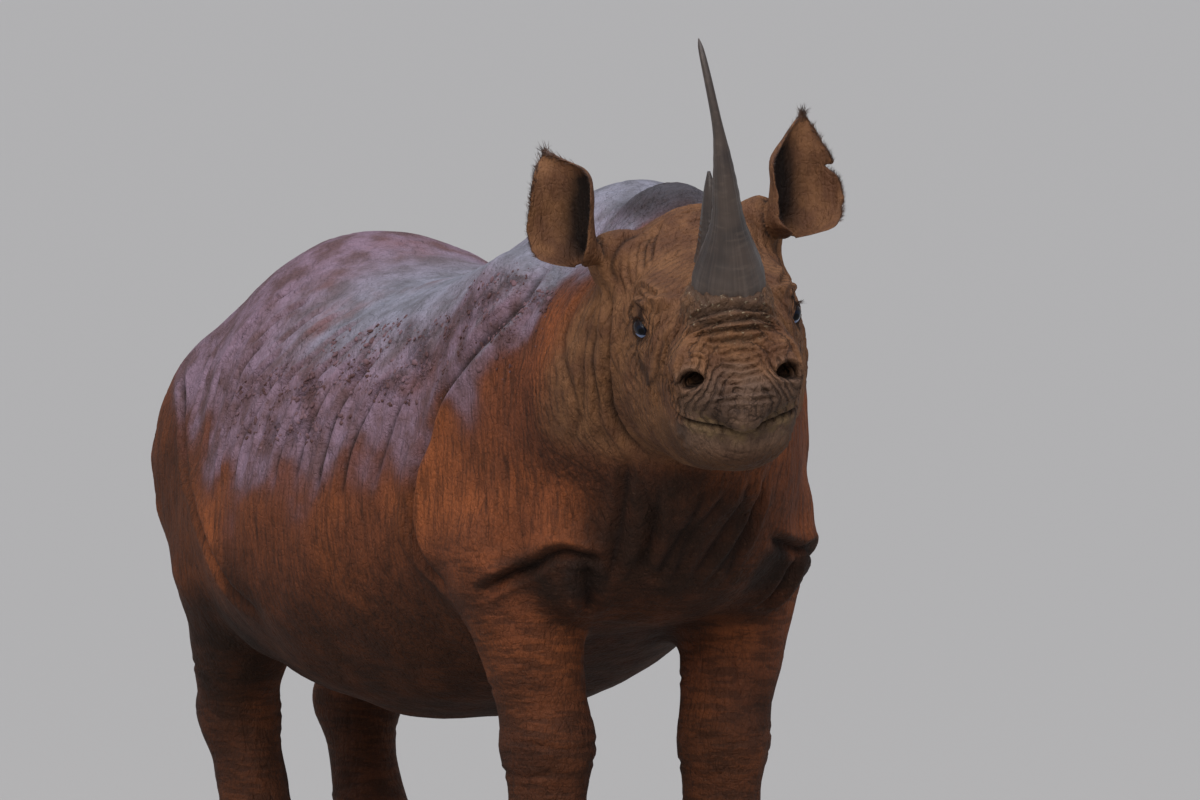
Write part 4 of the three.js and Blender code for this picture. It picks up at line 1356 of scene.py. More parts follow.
# ---------------------------------------------------------------- the other finishes
def horn_keratin():
    """Horn: packed fibres of keratin, rubbed dark and satin, frayed, pale and dusty round the root."""
    material, tree, shader = finish("worn_horn_keratin", IOR=1.55)
    grain = add(tree, "ShaderNodeAttribute", attribute_name="grain").outputs["Vector"]
    up = reading(tree, "up_the_horn")
    place = places_on(tree)
    fibres = noise(scaled(grain, (11.0, 11.0, 1.0)), 1.5, 5.0)
    rings = noise(scaled(grain, (0.6, 0.6, 16.0)), 1.6, 4.0)
    blotch = spots(place, 45, detail=4)
    crumbs = spots(place, 6, detail=3)
    lower = band(plus(up, times(blotch, 0.2)), 0.4, 0.22)
    foot = band(plus(up, times(blotch, 0.09)), 0.25, 0.14)
    colour = layered(
        blended(band(blotch, 0.38, 0.62), "#2a211d", "#3d312a"),
        (times(band(fibres, 0.48, 0.72), 0.35), "#54473f"),
        (times(band(rings, 0.52, 0.68), 0.25), "#5d4f45"),
        (times(lower, times(fibres, 0.5)), "#5f5148"),
        (times(foot, 0.35), "#4c3c31"),
        (times(foot, band(crumbs, 0.66, 0.74)), "#94836f"),
    )
    wear(shader, colour, plus(0.34, times(lower, 0.3)), plus(times(fibres, 0.9), times(rings, 0.5)), 0.7)
    return material


def nail_keratin():
    """Toenail: dull ribbed keratin, caked with earth in patches."""
    material, tree, shader = finish("dusty_nail_keratin", IOR=1.55)
    place = places_on(tree)
    ribs = spots(place, 7, (5, 5, 1), detail=3)
    patches = spots(place, 22, detail=4)
    horny = blended(band(ribs, 0.4, 0.62), "#3a2c23", "#62503f")
    colour = blended(band(patches, 0.5, 0.66), horny, "#6d4630")
    wear(shader, colour, plus(0.5, times(patches, 0.3)), ribs, 0.7)
    return material


PUPIL = 0.0062  # metres from the middle of the cornea to the edge of the pupil
IRIS = 0.0132  # and to the edge of the iris


def wet_eye(apex, up, name):
    """A dark eye under a wet, clear cornea: a round pupil, a soft edge to the iris, and a pale blue-grey
    reflection of the sky painted along its lower part.
    """
    gloss = dict(Roughness=0.08, Specular_IOR_Level=0.15, Coat_Weight=0.08, Coat_Roughness=0.02)
    material, tree, shader = finish(name, IOR=1.38, **gloss)
    place = places_on(tree)
    away = reckon_way("SUBTRACT", place, tuple(apex)).outputs[0]
    far = reckon_way("LENGTH", away).outputs["Value"]
    above = reckon_way("DOT_PRODUCT", away, tuple(up)).outputs["Value"]
    iris = blended(spots(place, 3, detail=4), "#0c0d13", "#1c202d")
    colour = layered(
        iris,
        (band(far, PUPIL + 0.0006, PUPIL - 0.0006), "#040406"),
        (band(far, IRIS - 0.0007, IRIS + 0.0008), "#1d1719"),
        # a pale blue reflection of the sky, painted low on the eye
        (times(band(above, -0.0075, -0.0105), 0.85), "#8ea3cc"),
    )
    wear(shader, colour)
    return material


def bristle():
    """Coarse hair: black-brown keratin, a little glossy, dusted red toward the root."""
    material, tree, shader = finish("black_bristle", IOR=1.55, Roughness=0.42)
    colour = blended(band(spots(places_on(tree), 14, detail=3), 0.4, 0.62), "#231812", "#47301f")
    wear(shader, blended(times(band(reading(tree, "tip"), 0.8, 0.0), 0.8), colour, "#6b4128"))
    return material


def dried_mud():
    """Laterite mud dried in crumbs: dull, red-brown to mauve."""
    material, tree, shader = finish("dried_laterite_mud", Roughness=0.85, Specular_IOR_Level=0.3)
    place = places_on(tree)
    colour = blended(band(spots(place, 30, detail=4), 0.38, 0.62), "#4a302d", "#6b5054")
    wear(shader, colour, height=spots(place, 3, detail=3), strength=0.8, unit=0.0015)
    return material


def pale_floor():
    """A plain pale studio floor."""
    material, _, shader = finish("pale_studio_floor", Roughness=0.9)
    shader.inputs["Base Color"].default_value = linear("#a39f98")
    return material


# ---------------------------------------------------------------- what the skin's mesh carries
def patch(p, centre, radii, strength=1.0):
    """Full strength well inside an egg-shaped region, 0 outside it."""
    return strength * smooth(1.25, 0.55, np.linalg.norm((p - np.array(centre)) / radii, axis=1))


def strongest(values):
    """The highest of several values at each place."""
    return np.maximum.reduce(list(values))


def in_ear_hollow(p, normal, ear):
    """How deep in the shadowed hollow of an ear each place lies."""
    level = np.linspace(0.02, 0.7, 15)
    edge = np.ones(15)
    back = in_ear(ear, level, -0.45 * ear["side"] * edge, edge)
    rims = 0.5 * (in_ear(ear, level, edge, edge) + in_ear(ear, level, -edge, edge))
    reach = through([0.02, 0.3, 0.7], [46, 96, 66], level)
    near = np.zeros(len(p))
    for spot, middle, size in zip(back, rims, reach):
        inward = smooth(-0.1, 0.2, ((middle - p) * normal).sum(1) / size)
        near = np.maximum(near, inward * smooth(size, size * 0.45, np.linalg.norm(p - spot, axis=1)))
    level, across = (a.ravel() for a in np.meshgrid(np.linspace(0.12, 0.75, 18), np.linspace(-1, 1, 19)))
    sheet = in_ear(ear, level, across, np.ones(len(level)))
    close = np.flatnonzero(near > 0)
    gap = np.linalg.norm(p[close][:, None] - sheet[None], axis=2).min(1)
    near[close] *= smooth(26, 14, gap)
    return near


def on_ear(p, ear):
    """1 on an ear."""
    level = np.linspace(0.22, 1.02, 12)
    middle = in_ear(ear, level, np.zeros(12), np.ones(12))
    return smooth(125, 105, np.linalg.norm(p[:, None] - middle[None], axis=2).min(1))


LIP_TIP = [322, 0, -60]  # in the head's frame
WRINKLE_WIDTH = 18  # from one fine wrinkle of the head to the next


def wrinkle_phase(q):
    """A value that rises by one from each fine wrinkle of the head to the next: rings spread from the upper
    lip over nose, cheeks and neck, and bend round the eyes and nostrils."""
    phase = np.linalg.norm((q - LIP_TIP) * [1, 1, 0.8], axis=1) / WRINKLE_WIDTH
    for side in (-1, 1):
        eye_gap = np.linalg.norm((q - eye_frame(side)[0] - [0, 0, -14]) * [1, 1, 0.8], axis=1)
        nostril_gap = np.linalg.norm(q - mirror(NOSTRIL_AT, side), axis=1)
        phase += 3.4 * np.exp(-((eye_gap / 52) ** 2)) + 2.0 * np.exp(-((nostril_gap / 38) ** 2))
    return phase


# the middles and radii of the regions where crumbs of mud cling
MUD_FIELDS = [
    ((-345, -260, 1200), (110, 300, 95)),
    ((-320, -620, 1290), (100, 170, 110)),
    ((-440, 120, 1090), (100, 230, 80)),
    ((345, -180, 1200), (110, 320, 95)),
    ((330, -600, 1270), (100, 170, 100)),
]
DUST_EDGE = [
    [-1000, -830, -740, -650, -500, -350, -100, 120, 300, 420, 620, 1000],  # along the body
    [1500, 1400, 1290, 1190, 1060, 990, 940, 920, 900, 970, 1060, 1160],  # height
]
# the middles, radii and strengths of regions where shade is painted, and then of pits that no light reaches
SHADE_REGIONS = [
    ((-100, -940, 850), (240, 190, 260), 1),  # breast
    ((-190, -1030, 985), (150, 120, 110), 1),  # throat
    ((-232, -830, 765), (62, 70, 85), 1),  # between the arms and the breast
    ((160, -870, 765), (75, 80, 90), 1),
    ((-160, -700, 1395), (190, 160, 60), 1),  # between the crest of the neck and the head
]
for side in (-1, 1):
    SHADE_REGIONS += [
        ((side * 290, -770, 770), (120, 130, 70), 1),  # elbow pits
        ((side * 385, -375, 830), (80, 60, 210), 0.55),  # behind the shoulders
        ((side * 445, 250, 700), (90, 110, 150), 0.8),  # between belly and thighs
        ((side * 400, 640, 820), (190, 290, 300), 0.6),  # thighs
        ((side * 340, 560, 480), (200, 300, 330), 1),  # hind legs
    ]
PITS = [
    ((-100, -880, 1535), (115, 190, 70), 0.85),  # crest of the neck, in the lee of the head
    ((-240, -822, 772), (50, 58, 62), 0.85),  # between the arms and the breast
    ((165, -865, 780), (62, 66, 80), 0.85),
]


def shade(p, q, facing_up, head, chin):
    """Where shade is painted into the hide: underneath, in the lee of the legs, and under the chin; the hide
    is also darker low down, toward the ground.
    """
    low = 0.8 * smooth(820, 380, p[:, 2] + 60 * ripple(p, 150, 22))
    beneath = 0.85 * smooth(0.1, -0.7, facing_up) * (1 - 0.8 * head)
    lee = strongest(patch(p, *region) for region in SHADE_REGIONS) * (1 - head)
    return strongest([low, beneath, lee, 0.55 * chin * smooth(-110, -165, q[:, 2])])


def lip_line(p, q):
    """Where pale ochre earth lines the lips."""
    lips = np.concatenate(lines_over([on_head(mirror(MOUTH[:3], side)) for side in (1, -1)]))
    near = (q[:, 0] > 180) & (q[:, 2] < -40) & (q[:, 2] > -175)
    ochre = np.zeros(len(p))
    far = np.sqrt(((p[near][:, None] - lips[None]) ** 2).sum(2)).min(1)
    ochre[near] = 0.8 * smooth(36, 8, far + 12 * ripple(p[near], 20, 24))
    return ochre


def hollows(p, q, head):
    """Where no light falls: in the pits of the body, along the rims of the lids and in the nostrils."""
    deep = [patch(p, *region) * (1 - head) for region in PITS]
    for side in (-1, 1):
        gap, bearing, far = lid_margin(q, side)
        nostril = mirror(NOSTRIL_AT, side) + [-14, -7 * side, -5]
        deep.append(0.9 * smooth(13, 3, gap) * (far < LID + 14))
        deep.append(smooth(34, 21, np.linalg.norm(q - nostril, axis=1)))
        over_the_eye = smooth(20, 60, bearing) * smooth(165, 120, bearing)
        deep.append(smooth(16, 5, gap) * over_the_eye * (far < LID + 16))
    return strongest(deep)


def round_the_horn(p, q):
    """Where a crust lies round the front horn's foot, and where the skin runs up on the horn."""
    root = HORNS["horn_front"]["root"]
    before = q[:, 0] - root[0] - 14
    ring = np.hypot(before / 1.1, q[:, 1]) / CRUST_ROUND
    ahead = smooth(0.1, 0.9, before / 79 / np.maximum(ring, 0.1))
    ring = ring - 0.2 * ahead + 0.08 * ripple(p, 24, 25)
    on_top = smooth(30, 60, q[:, 2])
    return smooth(1.4, 1.1, ring) * on_top, smooth(1.12, 0.98, ring) * on_top


def mark_skin(mesh):
    """Gives the skin the values that its finish reads: where it is dusty, where shade, shadow and a sheen of
    the sky are painted, where ochre lies and so on.
    """
    p = from_frame(places_of(mesh))
    q = in_head(p)
    y, z = p[:, 1], p[:, 2]
    normal = gathered(mesh.vertices, "normal")
    facing_up = normal[:, 2]
    ears = strongest(on_ear(p, ear) for ear in EARS.values())
    ear_hollow = strongest(in_ear_hollow(p, normal, ear) for ear in EARS.values())
    head = np.maximum(smooth(-330, -230, q[:, 0]) * smooth(-390, -300, q[:, 2]), ears)
    # dust and dried mud over the back, higher on the body and more where the skin faces up; its mauve is
    # partly the mud's own colour and partly a painted sheen of the sky
    above_edge = z - through(*DUST_EDGE, y) + 50 * ripple(p, 190, 21) + 60 * facing_up
    dust = smooth(-120, 130, above_edge) * (1 - head)
    chin = smooth(-95, -120, q[:, 2]) * smooth(60, 140, q[:, 0])
    crust, horn_foot = round_the_horn(p, q)
    near_nose = smooth(300, 170, np.linalg.norm(q - LIP_TIP, axis=1))
    near_eyes = [smooth(130, 60, np.linalg.norm(q - eye_frame(side)[0], axis=1)) for side in (-1, 1)]
    neck = smooth(-560, -420, q[:, 0]) * smooth(-420, -300, q[:, 2])
    wrinkled = strongest([near_nose, *near_eyes, 0.4 * neck]) * (1 - ears) * (1 - ear_hollow)
    nose = smooth(250, 345, q[:, 0] + 14 * ripple(p, 60, 23) - 0.6 * q[:, 2])
    marks = dict(
        head=head,
        dust=dust,
        # a grey reflection of the sky, painted where the mud faces up
        sky=smooth(0.25, 0.95, facing_up) * smooth(1100, 1250, z) * smooth(480, 60, y) * dust,
        # painted shade below, between the parts and under the chin
        dark=shade(p, q, facing_up, head, chin),
        muzzle=nose * smooth(-190, -130, q[:, 2]),
        ochre=lip_line(p, q),
        hollow=hollows(p, q, head),
        leg=np.maximum(smooth(900, 780, z) * smooth(-400, -500, y), smooth(640, 540, z)),
        ear_hollow=ear_hollow,
        crust=crust,
        horn_foot=horn_foot,
        mud=strongest(patch(p, *region) for region in MUD_FIELDS) * smooth(-0.3, 0.9, ripple(p, 90, 92)),
        wrinkle_phase=wrinkle_phase(q),
        wrinkled=wrinkled * (1 - horn_foot) * (1 - 0.65 * chin),
    )
    for name, values in marks.items():
        carry(mesh, name, values)


# ---------------------------------------------------------------- horns
HORNS = {
    "horn_front": dict(
        root=(146, 60),  # along and up
        lean=[14, 12, 5, -8, -21, -30],  # degrees towards the nose, from root to tip
        sway=[4, 4, 5, 2, -3, -14, -26],  # millimetres to the animal's left
        at=[0, 0.12, 0.18, 0.24, 0.3, 0.37, 0.43, 0.5, 0.62, 0.68, 0.74, 0.9, 0.97, 1],  # shares up it
        radii=[72, 72, 70, 61, 48.5, 35.5, 29, 25, 16.5, 12, 9.6, 7.3, 5.2, 1.2],  # at those shares
        deep=1.1,  # how much deeper than wide its section is
        length=598,  # with what is sunk in the head
        frayed=0.34,  # how far up the root is rough
        dusty=1.0,  # how fast the dust of the root thins out toward the tip
    ),
    "horn_rear": dict(
        root=(-8, 70),
        lean=[-2, -3, -6, -10],
        sway=[0, 0, 0, 0],
        at=[0, 0.12, 0.3, 0.6, 0.85, 1],
        radii=[50, 47, 34, 22, 12, 3],
        deep=1.35,
        length=235,
        frayed=0.5,
        dusty=0.7,
    ),
}
HORN_ROUND, HORN_RINGS = 96, 150
HORN_BENDS = 12  # straight lengths that a horn's centre line is reckoned in


def evenly(values, t):
    """A curve through values that stand at even steps from 0 to 1."""
    return through(np.linspace(0, 1, len(values)), values, t)


def horn(name):
    """A horn: a tapering bar of fibres round a centre line that leans step by step."""
    spec = HORNS[name]
    stride = spec["length"] / HORN_BENDS
    lean = np.radians(evenly(spec["lean"], (np.arange(HORN_BENDS) + 0.5) / HORN_BENDS))
    along = spec["root"][0] + np.concatenate([[0], np.cumsum(np.sin(lean) * stride)])
    up = spec["root"][1] + np.concatenate([[0], np.cumsum(np.cos(lean) * stride)])
    knots = np.linspace(0, 1, HORN_BENDS + 1)
    t = np.linspace(0.08, 1, HORN_RINGS)
    t, turn = (a.ravel() for a in np.meshgrid(t, full_turn(HORN_ROUND), indexing="ij"))
    angle = np.radians(evenly(spec["lean"], t))
    grain = np.stack([np.cos(turn), np.sin(turn), t * spec["length"] / 260], 1)
    frayed = smooth(spec["frayed"], spec["frayed"] * 0.45, t)
    fibre = ripple(grain * [90, 90, 14], 16, 61)
    radius = through(spec["at"], spec["radii"], t)
    radius = radius + frayed * (0.9 * fibre + 0.9 * ripple(grain * [60, 60, 90], 30, 62))
    ribs = 0.35 * smooth(0.75, 0.5, t) * np.sin(t * 130 + 1.5 * np.cos(turn))
    radius = np.maximum(radius + ribs + 0.3 * fibre * smooth(0.9, 0.6, t), 0.8)
    fore = np.sin(turn) * radius * spec["deep"]
    side = np.cos(turn) * radius + evenly(spec["sway"], t)
    along = through(knots, along, t) + fore * np.cos(angle)
    up = through(knots, up, t) - fore * np.sin(angle)
    p = to_frame(on_head(np.stack([along, side, up], 1)))
    faces = tube(HORN_RINGS, HORN_ROUND)
    faces.append(list(range(HORN_ROUND))[::-1])
    faces.append(list(range(len(p) - HORN_ROUND, len(p))))
    mesh = outward_mesh(name + "_fibres", p, faces)
    carry(mesh, "up_the_horn", t * spec["dusty"])
    carry(mesh, "grain", grain)
    mesh.shade_smooth()
    piece = show(name + "_fibres", mesh)
    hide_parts(name)
    return piece


# ---------------------------------------------------------------- eyes
SIDE_WORDS = {-1: "right", 1: "left"}


def eye(side):
    """An eyeball that bulges a little at the cornea."""
    centre, outward, forward, up = eye_frame(side, LOOK)
    a, b, faces = ball(40, 56)
    bulge = EYE_RADIUS - 0.4 + 1.3 * smooth(0.62, 0.3, a)
    round_axis = np.cos(b)[:, None] * forward + np.sin(b)[:, None] * up
    way = np.cos(a)[:, None] * outward + np.sin(a)[:, None] * round_axis
    p = to_frame(on_head(centre + way * bulge[:, None]))
    word = SIDE_WORDS[side]
    mesh = outward_mesh(f"eyeball_{word}", p, faces)
    mesh.shade_smooth()
    piece = show(f"eyeball_{word}", mesh)
    piece.data.materials.append(wet_eye(p[0], up @ HEAD, f"wet_eye_{word}"))
    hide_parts(f"eye_{word}")
    return piece


# ---------------------------------------------------------------- nails
NAILS = [(-52, 34), (0, 42), (52, 34)]  # degrees from straight ahead, and half the width
NAIL_TALL, NAIL_THICK = 40, 17  # half the height and half the thickness
NAIL_UP = 44  # height of a nail's middle
NAIL_LEAN = 18  # degrees that it leans back
NAIL_SUNK = 8  # how deep a nail's middle lies in the foot


def rotated(first, second, degrees):
    """Two coordinates after a turn from the first axis toward the second."""
    c, s = np.cos(np.radians(degrees)), np.sin(np.radians(degrees))
    return first * c - second * s, first * s + second * c


def nail(leg, k):
    """A toenail: a broad shield with growth ribs and a worn lower edge, let into the front of the foot."""
    side, foot_x, foot_y = LEGS[leg]
    degrees, half = NAILS[k]
    a, b, faces = ball(28, 40)
    # squarer than an egg from the front
    x, y, z = np.sin(a) * np.cos(b), np.sin(a) * np.sin(b), np.cos(a)
    square = (np.abs(x) ** 2.8 + np.abs(z) ** 2.8 + np.abs(y) ** 2.2) ** (-1 / 2.6)
    p = np.stack([x * square * half, y * square * NAIL_THICK, z * square * NAIL_TALL], 1)
    ribs = 0.5 * np.sin(p[:, 2] * 0.9 + 0.4 * np.cos(p[:, 0] * 0.1)) + 0.6 * ripple(p + k * 50, 18, 70 + k)
    p[:, 1] -= np.where(p[:, 1] < 0, ribs, 0)
    y, z = rotated(p[:, 1], p[:, 2], -NAIL_LEAN)
    x, y = rotated(p[:, 0], y, degrees)
    reach = FOOT_RADIUS - NAIL_SUNK
    x += (foot_x - 1) * side + np.sin(np.radians(degrees)) * reach
    y += foot_y - (12 if leg.startswith("fore") else 4) - np.cos(np.radians(degrees)) * reach
    p = np.stack([x, y, np.maximum(z + NAIL_UP, 0.8)], 1)
    name = f"{leg}_toenail_{k + 1}"
    mesh = outward_mesh(name, to_frame(p), faces)
    mesh.shade_smooth()
    piece = show(name, mesh)
    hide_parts(f"{leg}_nail_{k + 1}")
    return piece


# ---------------------------------------------------------------- floor, lights and camera
def floor():
    """A plain pale floor, wide enough to fill the view, half a millimetre under the soles."""
    bm = bmesh.new()
    bmesh.ops.create_circle(bm, cap_ends=True, segments=64, radius=900)
    mesh = bpy.data.meshes.new("floor")
    bm.to_mesh(mesh)
    bm.free()
    mesh.transform(Matrix.Translation((0, 0, -0.0005)))
    piece = show("floor", mesh)
    mesh.materials.append(pale_floor())


def studio():
    """Light as under a bright, even overcast: soft, mostly from above, and a little cool."""
    world = bpy.data.worlds.new("overcast")
    world.use_nodes = True
    sky = world.node_tree.nodes["Background"]
    sky.inputs["Color"].default_value = linear("#dfe4ec")
    sky.inputs["Strength"].default_value = 0.42
    bpy.context.scene.world = world
    overhead = bpy.data.lights.new("overhead", "SUN")
    overhead.energy, overhead.angle, overhead.color = 3.4, 1.6, linear("#eef2ff")[:3]
    show("overhead", overhead).rotation_euler = Vector((-0.25, -0.35, 1)).to_track_quat("Z", "Y").to_euler()
    front = bpy.data.lights.new("front", "AREA")
    front.shape, front.size, front.size_y = "RECTANGLE", 4, 3
    front.energy, front.color = 190, linear("#fff6ea")[:3]
    holder = show("front", front)
    place, aim = Vector((-4.5, -6.0, 4.2)), Vector((0, -0.6, 1.1))
    holder.location = place
    holder.rotation_euler = (aim - place).to_track_quat("-Z", "Y").to_euler()


CAMERA_AZIMUTH, CAMERA_ELEVATION = -28, 2  # degrees
CAMERA_AIM = Vector((0.181, 0.136, 1.099))
CAMERA_DISTANCE, VIEW_WIDTH = 30.0, 2.46  # metres


def camera():
    """A long lens, a little above the animal's eye level, from its right front."""
    a, e = np.radians([CAMERA_AZIMUTH, CAMERA_ELEVATION])
    back = Vector((np.sin(a) * np.cos(e), -np.cos(a) * np.cos(e), np.sin(e)))
    optics = bpy.data.cameras.new("camera")
    optics.sensor_width = 36
    optics.lens = optics.sensor_width * CAMERA_DISTANCE / VIEW_WIDTH
    optics.clip_end = 3000
    holder = show("camera", optics)
    holder.location = CAMERA_AIM + back * CAMERA_DISTANCE
    holder.rotation_euler = (-back).to_track_quat("-Z", "Y").to_euler()
    bpy.context.scene.camera = holder
    bpy.context.scene.view_settings.view_transform = "Standard"


# ---------------------------------------------------------------- hair and mud
def scatter_group():
    """Geometry nodes that set a small piece on each point, turned along the point's own way, as a mesh."""
    tree = bpy.data.node_groups.new("set_on_points", "GeometryNodeTree")
    sockets = [("Points", "Geometry"), ("Piece", "Object"), ("Spread", "Float"), ("Uneven", "Float")]
    sockets += [("Seed", "Int"), ("Finish", "Material")]
    for name, kind in sockets:
        tree.interface.new_socket(name, in_out="INPUT", socket_type="NodeSocket" + kind)
    tree.interface.new_socket("Mesh", in_out="OUTPUT", socket_type="NodeSocketGeometry")
    given = add(tree, "NodeGroupInput").outputs
    points = add(tree, "GeometryNodeMeshToPoints", {"Mesh": given["Points"]}).outputs[0]
    way = add(tree, "GeometryNodeInputNamedAttribute", {"Name": "way"}, data_type="FLOAT_VECTOR").outputs[0]
    size = add(tree, "GeometryNodeInputNamedAttribute", {"Name": "size"}, data_type="FLOAT").outputs[0]
    along = add(tree, "FunctionNodeAlignRotationToVector", {"Vector": way}, axis="Z").outputs[0]
    most = {"X": given["Spread"], "Y": given["Spread"], "Z": np.pi}
    most = add(tree, "ShaderNodeCombineXYZ", most).outputs[0]
    least = reckon_way("MULTIPLY", most, (-1, -1, -1)).outputs[0]
    tilt = {0: least, 1: most, 8: given["Seed"]}
    tilt = add(tree, "FunctionNodeRandomValue", tilt, data_type="FLOAT_VECTOR").outputs[0]
    tilt = add(tree, "FunctionNodeEulerToRotation", {"Euler": tilt}).outputs[0]
    leaning = {"Rotation": along, "Rotate By": tilt}
    leaning = add(tree, "FunctionNodeRotateRotation", leaning, rotation_space="LOCAL").outputs[0]
    share = {2: less(1.0, given["Uneven"]), 3: plus(1.0, given["Uneven"]), 8: given["Seed"]}
    share = add(tree, "FunctionNodeRandomValue", share, data_type="FLOAT").outputs[1]
    piece = add(tree, "GeometryNodeObjectInfo", {"Object": given["Piece"]}).outputs["Geometry"]
    copies = {"Points": points, "Instance": piece, "Rotation": leaning, "Scale": times(size, share)}
    copies = add(tree, "GeometryNodeInstanceOnPoints", copies).outputs[0]
    real = add(tree, "GeometryNodeRealizeInstances", {"Geometry": copies}).outputs[0]
    finished = add(tree, "GeometryNodeSetMaterial", {"Geometry": real, "Material": given["Finish"]})
    add(tree, "NodeGroupOutput", {"Mesh": finished.outputs[0]})
    return tree


LEAF_SPREAD = 0.003  # how much of the unwrapped sheet one lock or crumb takes


def scattered(name, places, ways, sizes, roots, piece, material, spread, uneven, seed):
    """One mesh of many copies of a small piece. roots says where each one lies on the unwrapped sheet."""
    mesh = mesh_of(name, places, [])
    ways = ways / np.linalg.norm(ways, axis=1)[:, None]
    for key, values in (("way", ways), ("size", sizes), ("root", roots)):
        carry(mesh, key, values)
    host = show(name, mesh)
    group = bpy.data.node_groups.get("set_on_points") or scatter_group()
    modifier = host.modifiers.new("scatter", "NODES")
    modifier.node_group = group
    given = {"Piece": piece, "Spread": spread, "Uneven": uneven, "Seed": seed, "Finish": material}
    for item in group.interface.items_tree:
        if item.name in given:
            modifier[item.identifier] = given[item.name]
    applied(host)
    mesh = host.data
    root, leaf = (gathered(mesh.attributes[key].data, "vector") for key in ("root", "leaf"))
    corner = gathered(mesh.loops, "vertex_index", 1, np.int32).ravel()
    unwrapped = (root + LEAF_SPREAD * leaf)[corner, :2]
    uv = mesh.uv_layers.new(name="OFBake")
    uv.data.foreach_set("uv", unwrapped.astype(np.float32).ravel())
    mesh.shade_smooth()
    return host


def tuft(name, length, width, bend, levels=5):
    """A pointed lock of hair that stands up along Z and bends toward X, in metres; its root is sunk in."""
    at = np.linspace(0, 1, levels)
    radius = 0.5 * width * (1 - at) ** 0.7
    rise = length * (at - 0.04)
    lean = bend * length * at**2
    turn = np.radians([90, 210, 330])
    triangle = np.stack([np.cos(turn), np.sin(turn), np.zeros(3)], 1)
    rings = [triangle * r + [x, 0, z] for r, x, z in zip(radius[:-1], lean, rise)]
    p = np.concatenate([*rings, [[lean[-1], 0, rise[-1]]]])
    last = len(p) - 1
    faces = [[2, 1, 0], *tube(levels - 1, 3)]
    faces += [[last - 3 + j, last - 3 + (j + 1) % 3, last] for j in range(3)]
    mesh = outward_mesh(name, p, faces)
    carry(mesh, "tip", np.clip(p[:, 2] / length, 0, 1))
    carry(mesh, "leaf", np.stack([p[:, 1] / width, p[:, 2] / length - 0.5, np.zeros(len(p))], 1))
    return bpy.data.objects.new(name, mesh)


def ear_fringe(name, hair):
    """Dark bristles along the rim of an ear, longest at its tip."""
    ear = EARS[name]
    rng = np.random.default_rng(40 + ear["side"])
    count = 2600
    level = 1 - 0.78 * rng.random(count) ** 1.15
    edge = rng.choice([-1.0, 1.0], count)
    tip = level > 0.9
    across = np.where(tip, rng.uniform(-1, 1, count), edge * rng.uniform(0.9, 1.0, count))
    if name == "left":
        across -= across * TEAR * torn(level) * (across * ear["side"] > 0)
    place = in_ear(ear, level, across, rng.uniform(-0.6, 0.6, count))
    outer = in_ear(ear, np.minimum(level + 0.05, 1.0), across * 1.06, np.zeros(count))
    inner = in_ear(ear, level - 0.03, across * 0.9, np.zeros(count))
    way = outer - inner + rng.normal(size=(count, 3)) * 3
    size = 0.4 + 0.3 * smooth(0.4, 0.8, level) + 0.5 * smooth(0.85, 1.0, level)
    size *= np.where(edge * ear["side"] > 0, 1.0, 0.6)
    start = 0.1 if name == "right" else 0.4
    roots = np.stack([start + 0.1 * across, 0.6 + 0.3 * level, np.zeros(count)], 1)
    lock = tuft("ear_bristle", 0.020, 0.0013, 0.3)
    piece = scattered(f"ear_fringe_{name}", to_frame(place), way, size, roots, lock, hair, 0.35, 0.4, 7)
    bpy.data.objects.remove(lock)
    return piece


def lashes(side, hair):
    """Short lashes along the upper lid."""
    rng = np.random.default_rng(60 + side)
    count = 70
    centre, outward, forward, up = eye_frame(side)
    share = rng.uniform(-0.85, 0.85, count)
    ahead = np.radians(share * EYE_HALF_OPEN)
    above = np.radians(LID_UP * np.sqrt(1 - share**2) + 3)
    flat = np.cos(ahead)[:, None] * outward + np.sin(ahead)[:, None] * forward
    way = np.cos(above)[:, None] * flat + np.sin(above)[:, None] * up
    place = to_frame(on_head(centre + way * (LID + 0.4)))
    lean = (way * 0.5 + outward * 0.8 + up * 0.15) @ HEAD
    roots = np.stack([0.7 + 0.1 * share, np.full(count, 0.8 + 0.05 * side), np.zeros(count)], 1)
    lock = tuft("lash", 0.013, 0.0009, 0.35)
    name = f"lashes_{SIDE_WORDS[side]}"
    piece = scattered(name, place, lean, np.ones(count), roots, lock, hair, 0.25, 0.3, 8)
    bpy.data.objects.remove(lock)
    return piece


TUFT_TOP, TUFT_LOW = 600, 415  # heights between which the tail's bristles lie


def tail_bristles(hair):
    """The tail's end: a flattened tuft of long wiry bristles that hang down."""
    rng = np.random.default_rng(71)
    count = 900
    top = rng.uniform(500, TUFT_TOP - 4, count)
    turn = rng.uniform(0, 2 * np.pi, count)
    radius = through([TUFT_LOW, 500, TUFT_TOP], [6, 12, 14], top)
    place = np.stack([np.cos(turn) * radius * 1.3, RUMP_Y + 52 + np.sin(turn) * radius, top], 1)
    way = np.stack([np.cos(turn) * 0.14, np.sin(turn) * 0.07, -np.ones(count)], 1)
    size = (top - TUFT_LOW) / 150 * 0.85
    roots = np.stack([0.1 + turn / 20, 0.1 + (top - TUFT_LOW) / 1000, np.zeros(count)], 1)
    lock = tuft("tail_bristle", 0.150, 0.0022, 0.05, 6)
    piece = scattered("tail_bristles", to_frame(place), way, size, roots, lock, hair, 0.05, 0.12, 9)
    bpy.data.objects.remove(lock)
    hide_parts("tail_tuft")
    return piece


def clod():
    """A crumb of dried mud, about a metre long before it is scaled."""
    bm = bmesh.new()
    bmesh.ops.create_icosphere(bm, subdivisions=2, radius=0.5)
    mesh = bpy.data.meshes.new("clod")
    bm.to_mesh(mesh)
    bm.free()
    p = places_of(mesh)
    put(mesh, p * (1 + 0.28 * ripple(p, 0.9, 81)[:, None]) * [1, 0.8, 0.42])
    carry(mesh, "leaf", p)
    return bpy.data.objects.new("clod", mesh)


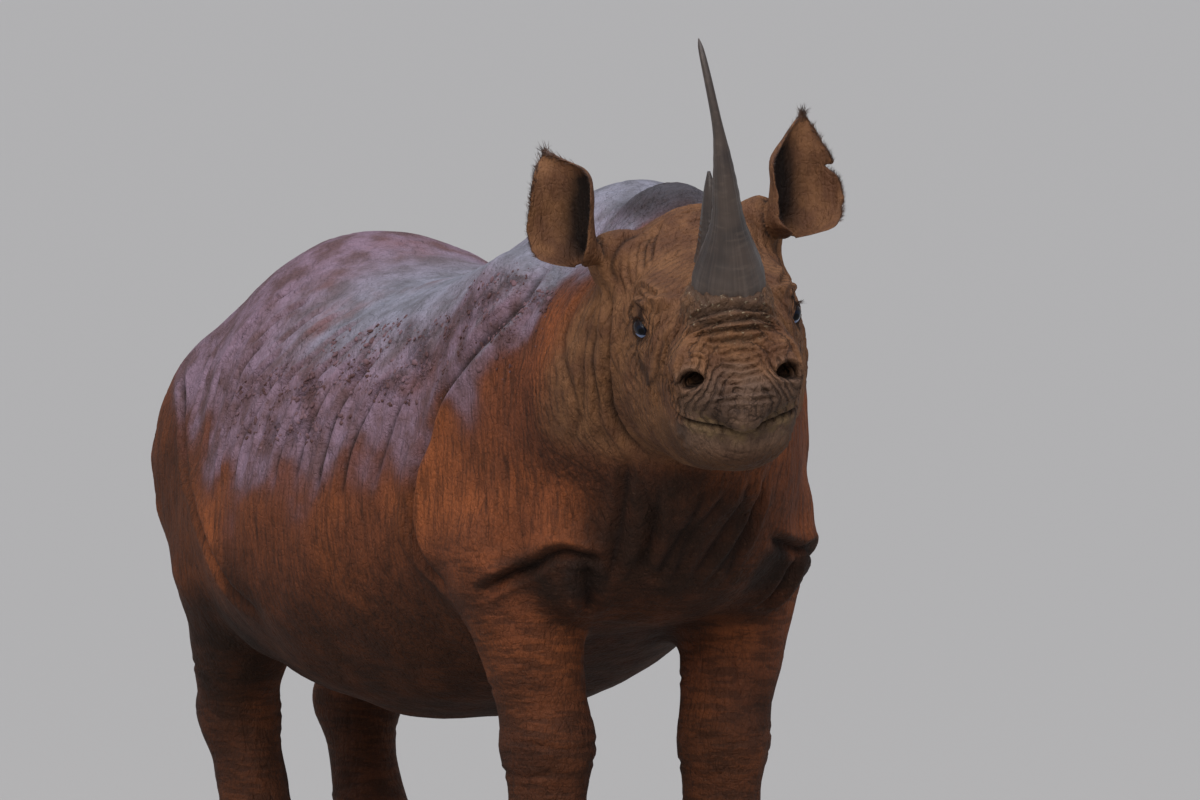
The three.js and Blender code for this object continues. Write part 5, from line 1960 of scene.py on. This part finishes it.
CLODS = 2000


def mud_clods(skin, mud):
    """Crumbs of dried mud that cling in patches to the shoulder ridges and the upper flanks."""
    rng = np.random.default_rng(91)
    p = from_frame(places_of(skin.data))
    field = strongest(patch(p, *region) for region in MUD_FIELDS)
    field *= smooth(0.15, 1.1, ripple(p, 90, 92)) + 0.15 * smooth(-0.6, 0.6, ripple(p, 60, 93))
    count = min(CLODS, np.count_nonzero(field))
    chosen = rng.choice(len(p), count, p=field / field.sum(), replace=False)
    way = gathered(skin.data.vertices, "normal")[chosen]
    size = 0.004 + 0.009 * rng.random(count) ** 2.5
    place = places_of(skin.data)[chosen] + rng.normal(size=(count, 3)) * 0.0012 - way * size[:, None] * 0.1
    roots = np.stack([0.1 + p[chosen, 1] / 4000 + 0.4, p[chosen, 2] / 2000, np.zeros(count)], 1)
    lump = clod()
    piece = scattered("dried_mud_clods", place, way, size, roots, lump, mud, 0.3, 0.2, 10)
    bpy.data.objects.remove(lump)
    return piece


# ---------------------------------------------------------------- putting it together
FLESH_NODES = [
    "trunk", "neck", "head", "lower_jaw", "tail", "ear_right", "ear_left",
    "foreleg_right", "foreleg_left", "hindleg_right", "hindleg_left",
    "forefoot_right", "forefoot_left", "hindfoot_right", "hindfoot_left",
]


def dress():
    """Every piece of the animal, with its finish."""
    skin = make_skin()
    mark_skin(skin.data)
    skin.data.materials.clear()
    skin.data.materials.append(hide())
    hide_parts(*FLESH_NODES)
    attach(skin, "root")
    keratin = horn_keratin()
    for name in HORNS:
        piece = horn(name)
        piece.data.materials.append(keratin)
        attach(piece, "root")
    for side in (-1, 1):
        eyeball = eye(side)
        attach(eyeball, "root")
    hair = bristle()
    coat = [ear_fringe(name, hair) for name in EARS] + [lashes(side, hair) for side in (-1, 1)]
    coat.append(tail_bristles(hair))
    for piece in coat:
        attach(piece, "root")
    crumbs = mud_clods(skin, dried_mud())
    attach(crumbs, "root")
    claw = nail_keratin()
    for leg in LEGS:
        for k in range(len(NAILS)):
            piece = nail(leg, k)
            piece.data.materials.append(claw)
            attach(piece, "root")


dress()
floor()
studio()
camera()
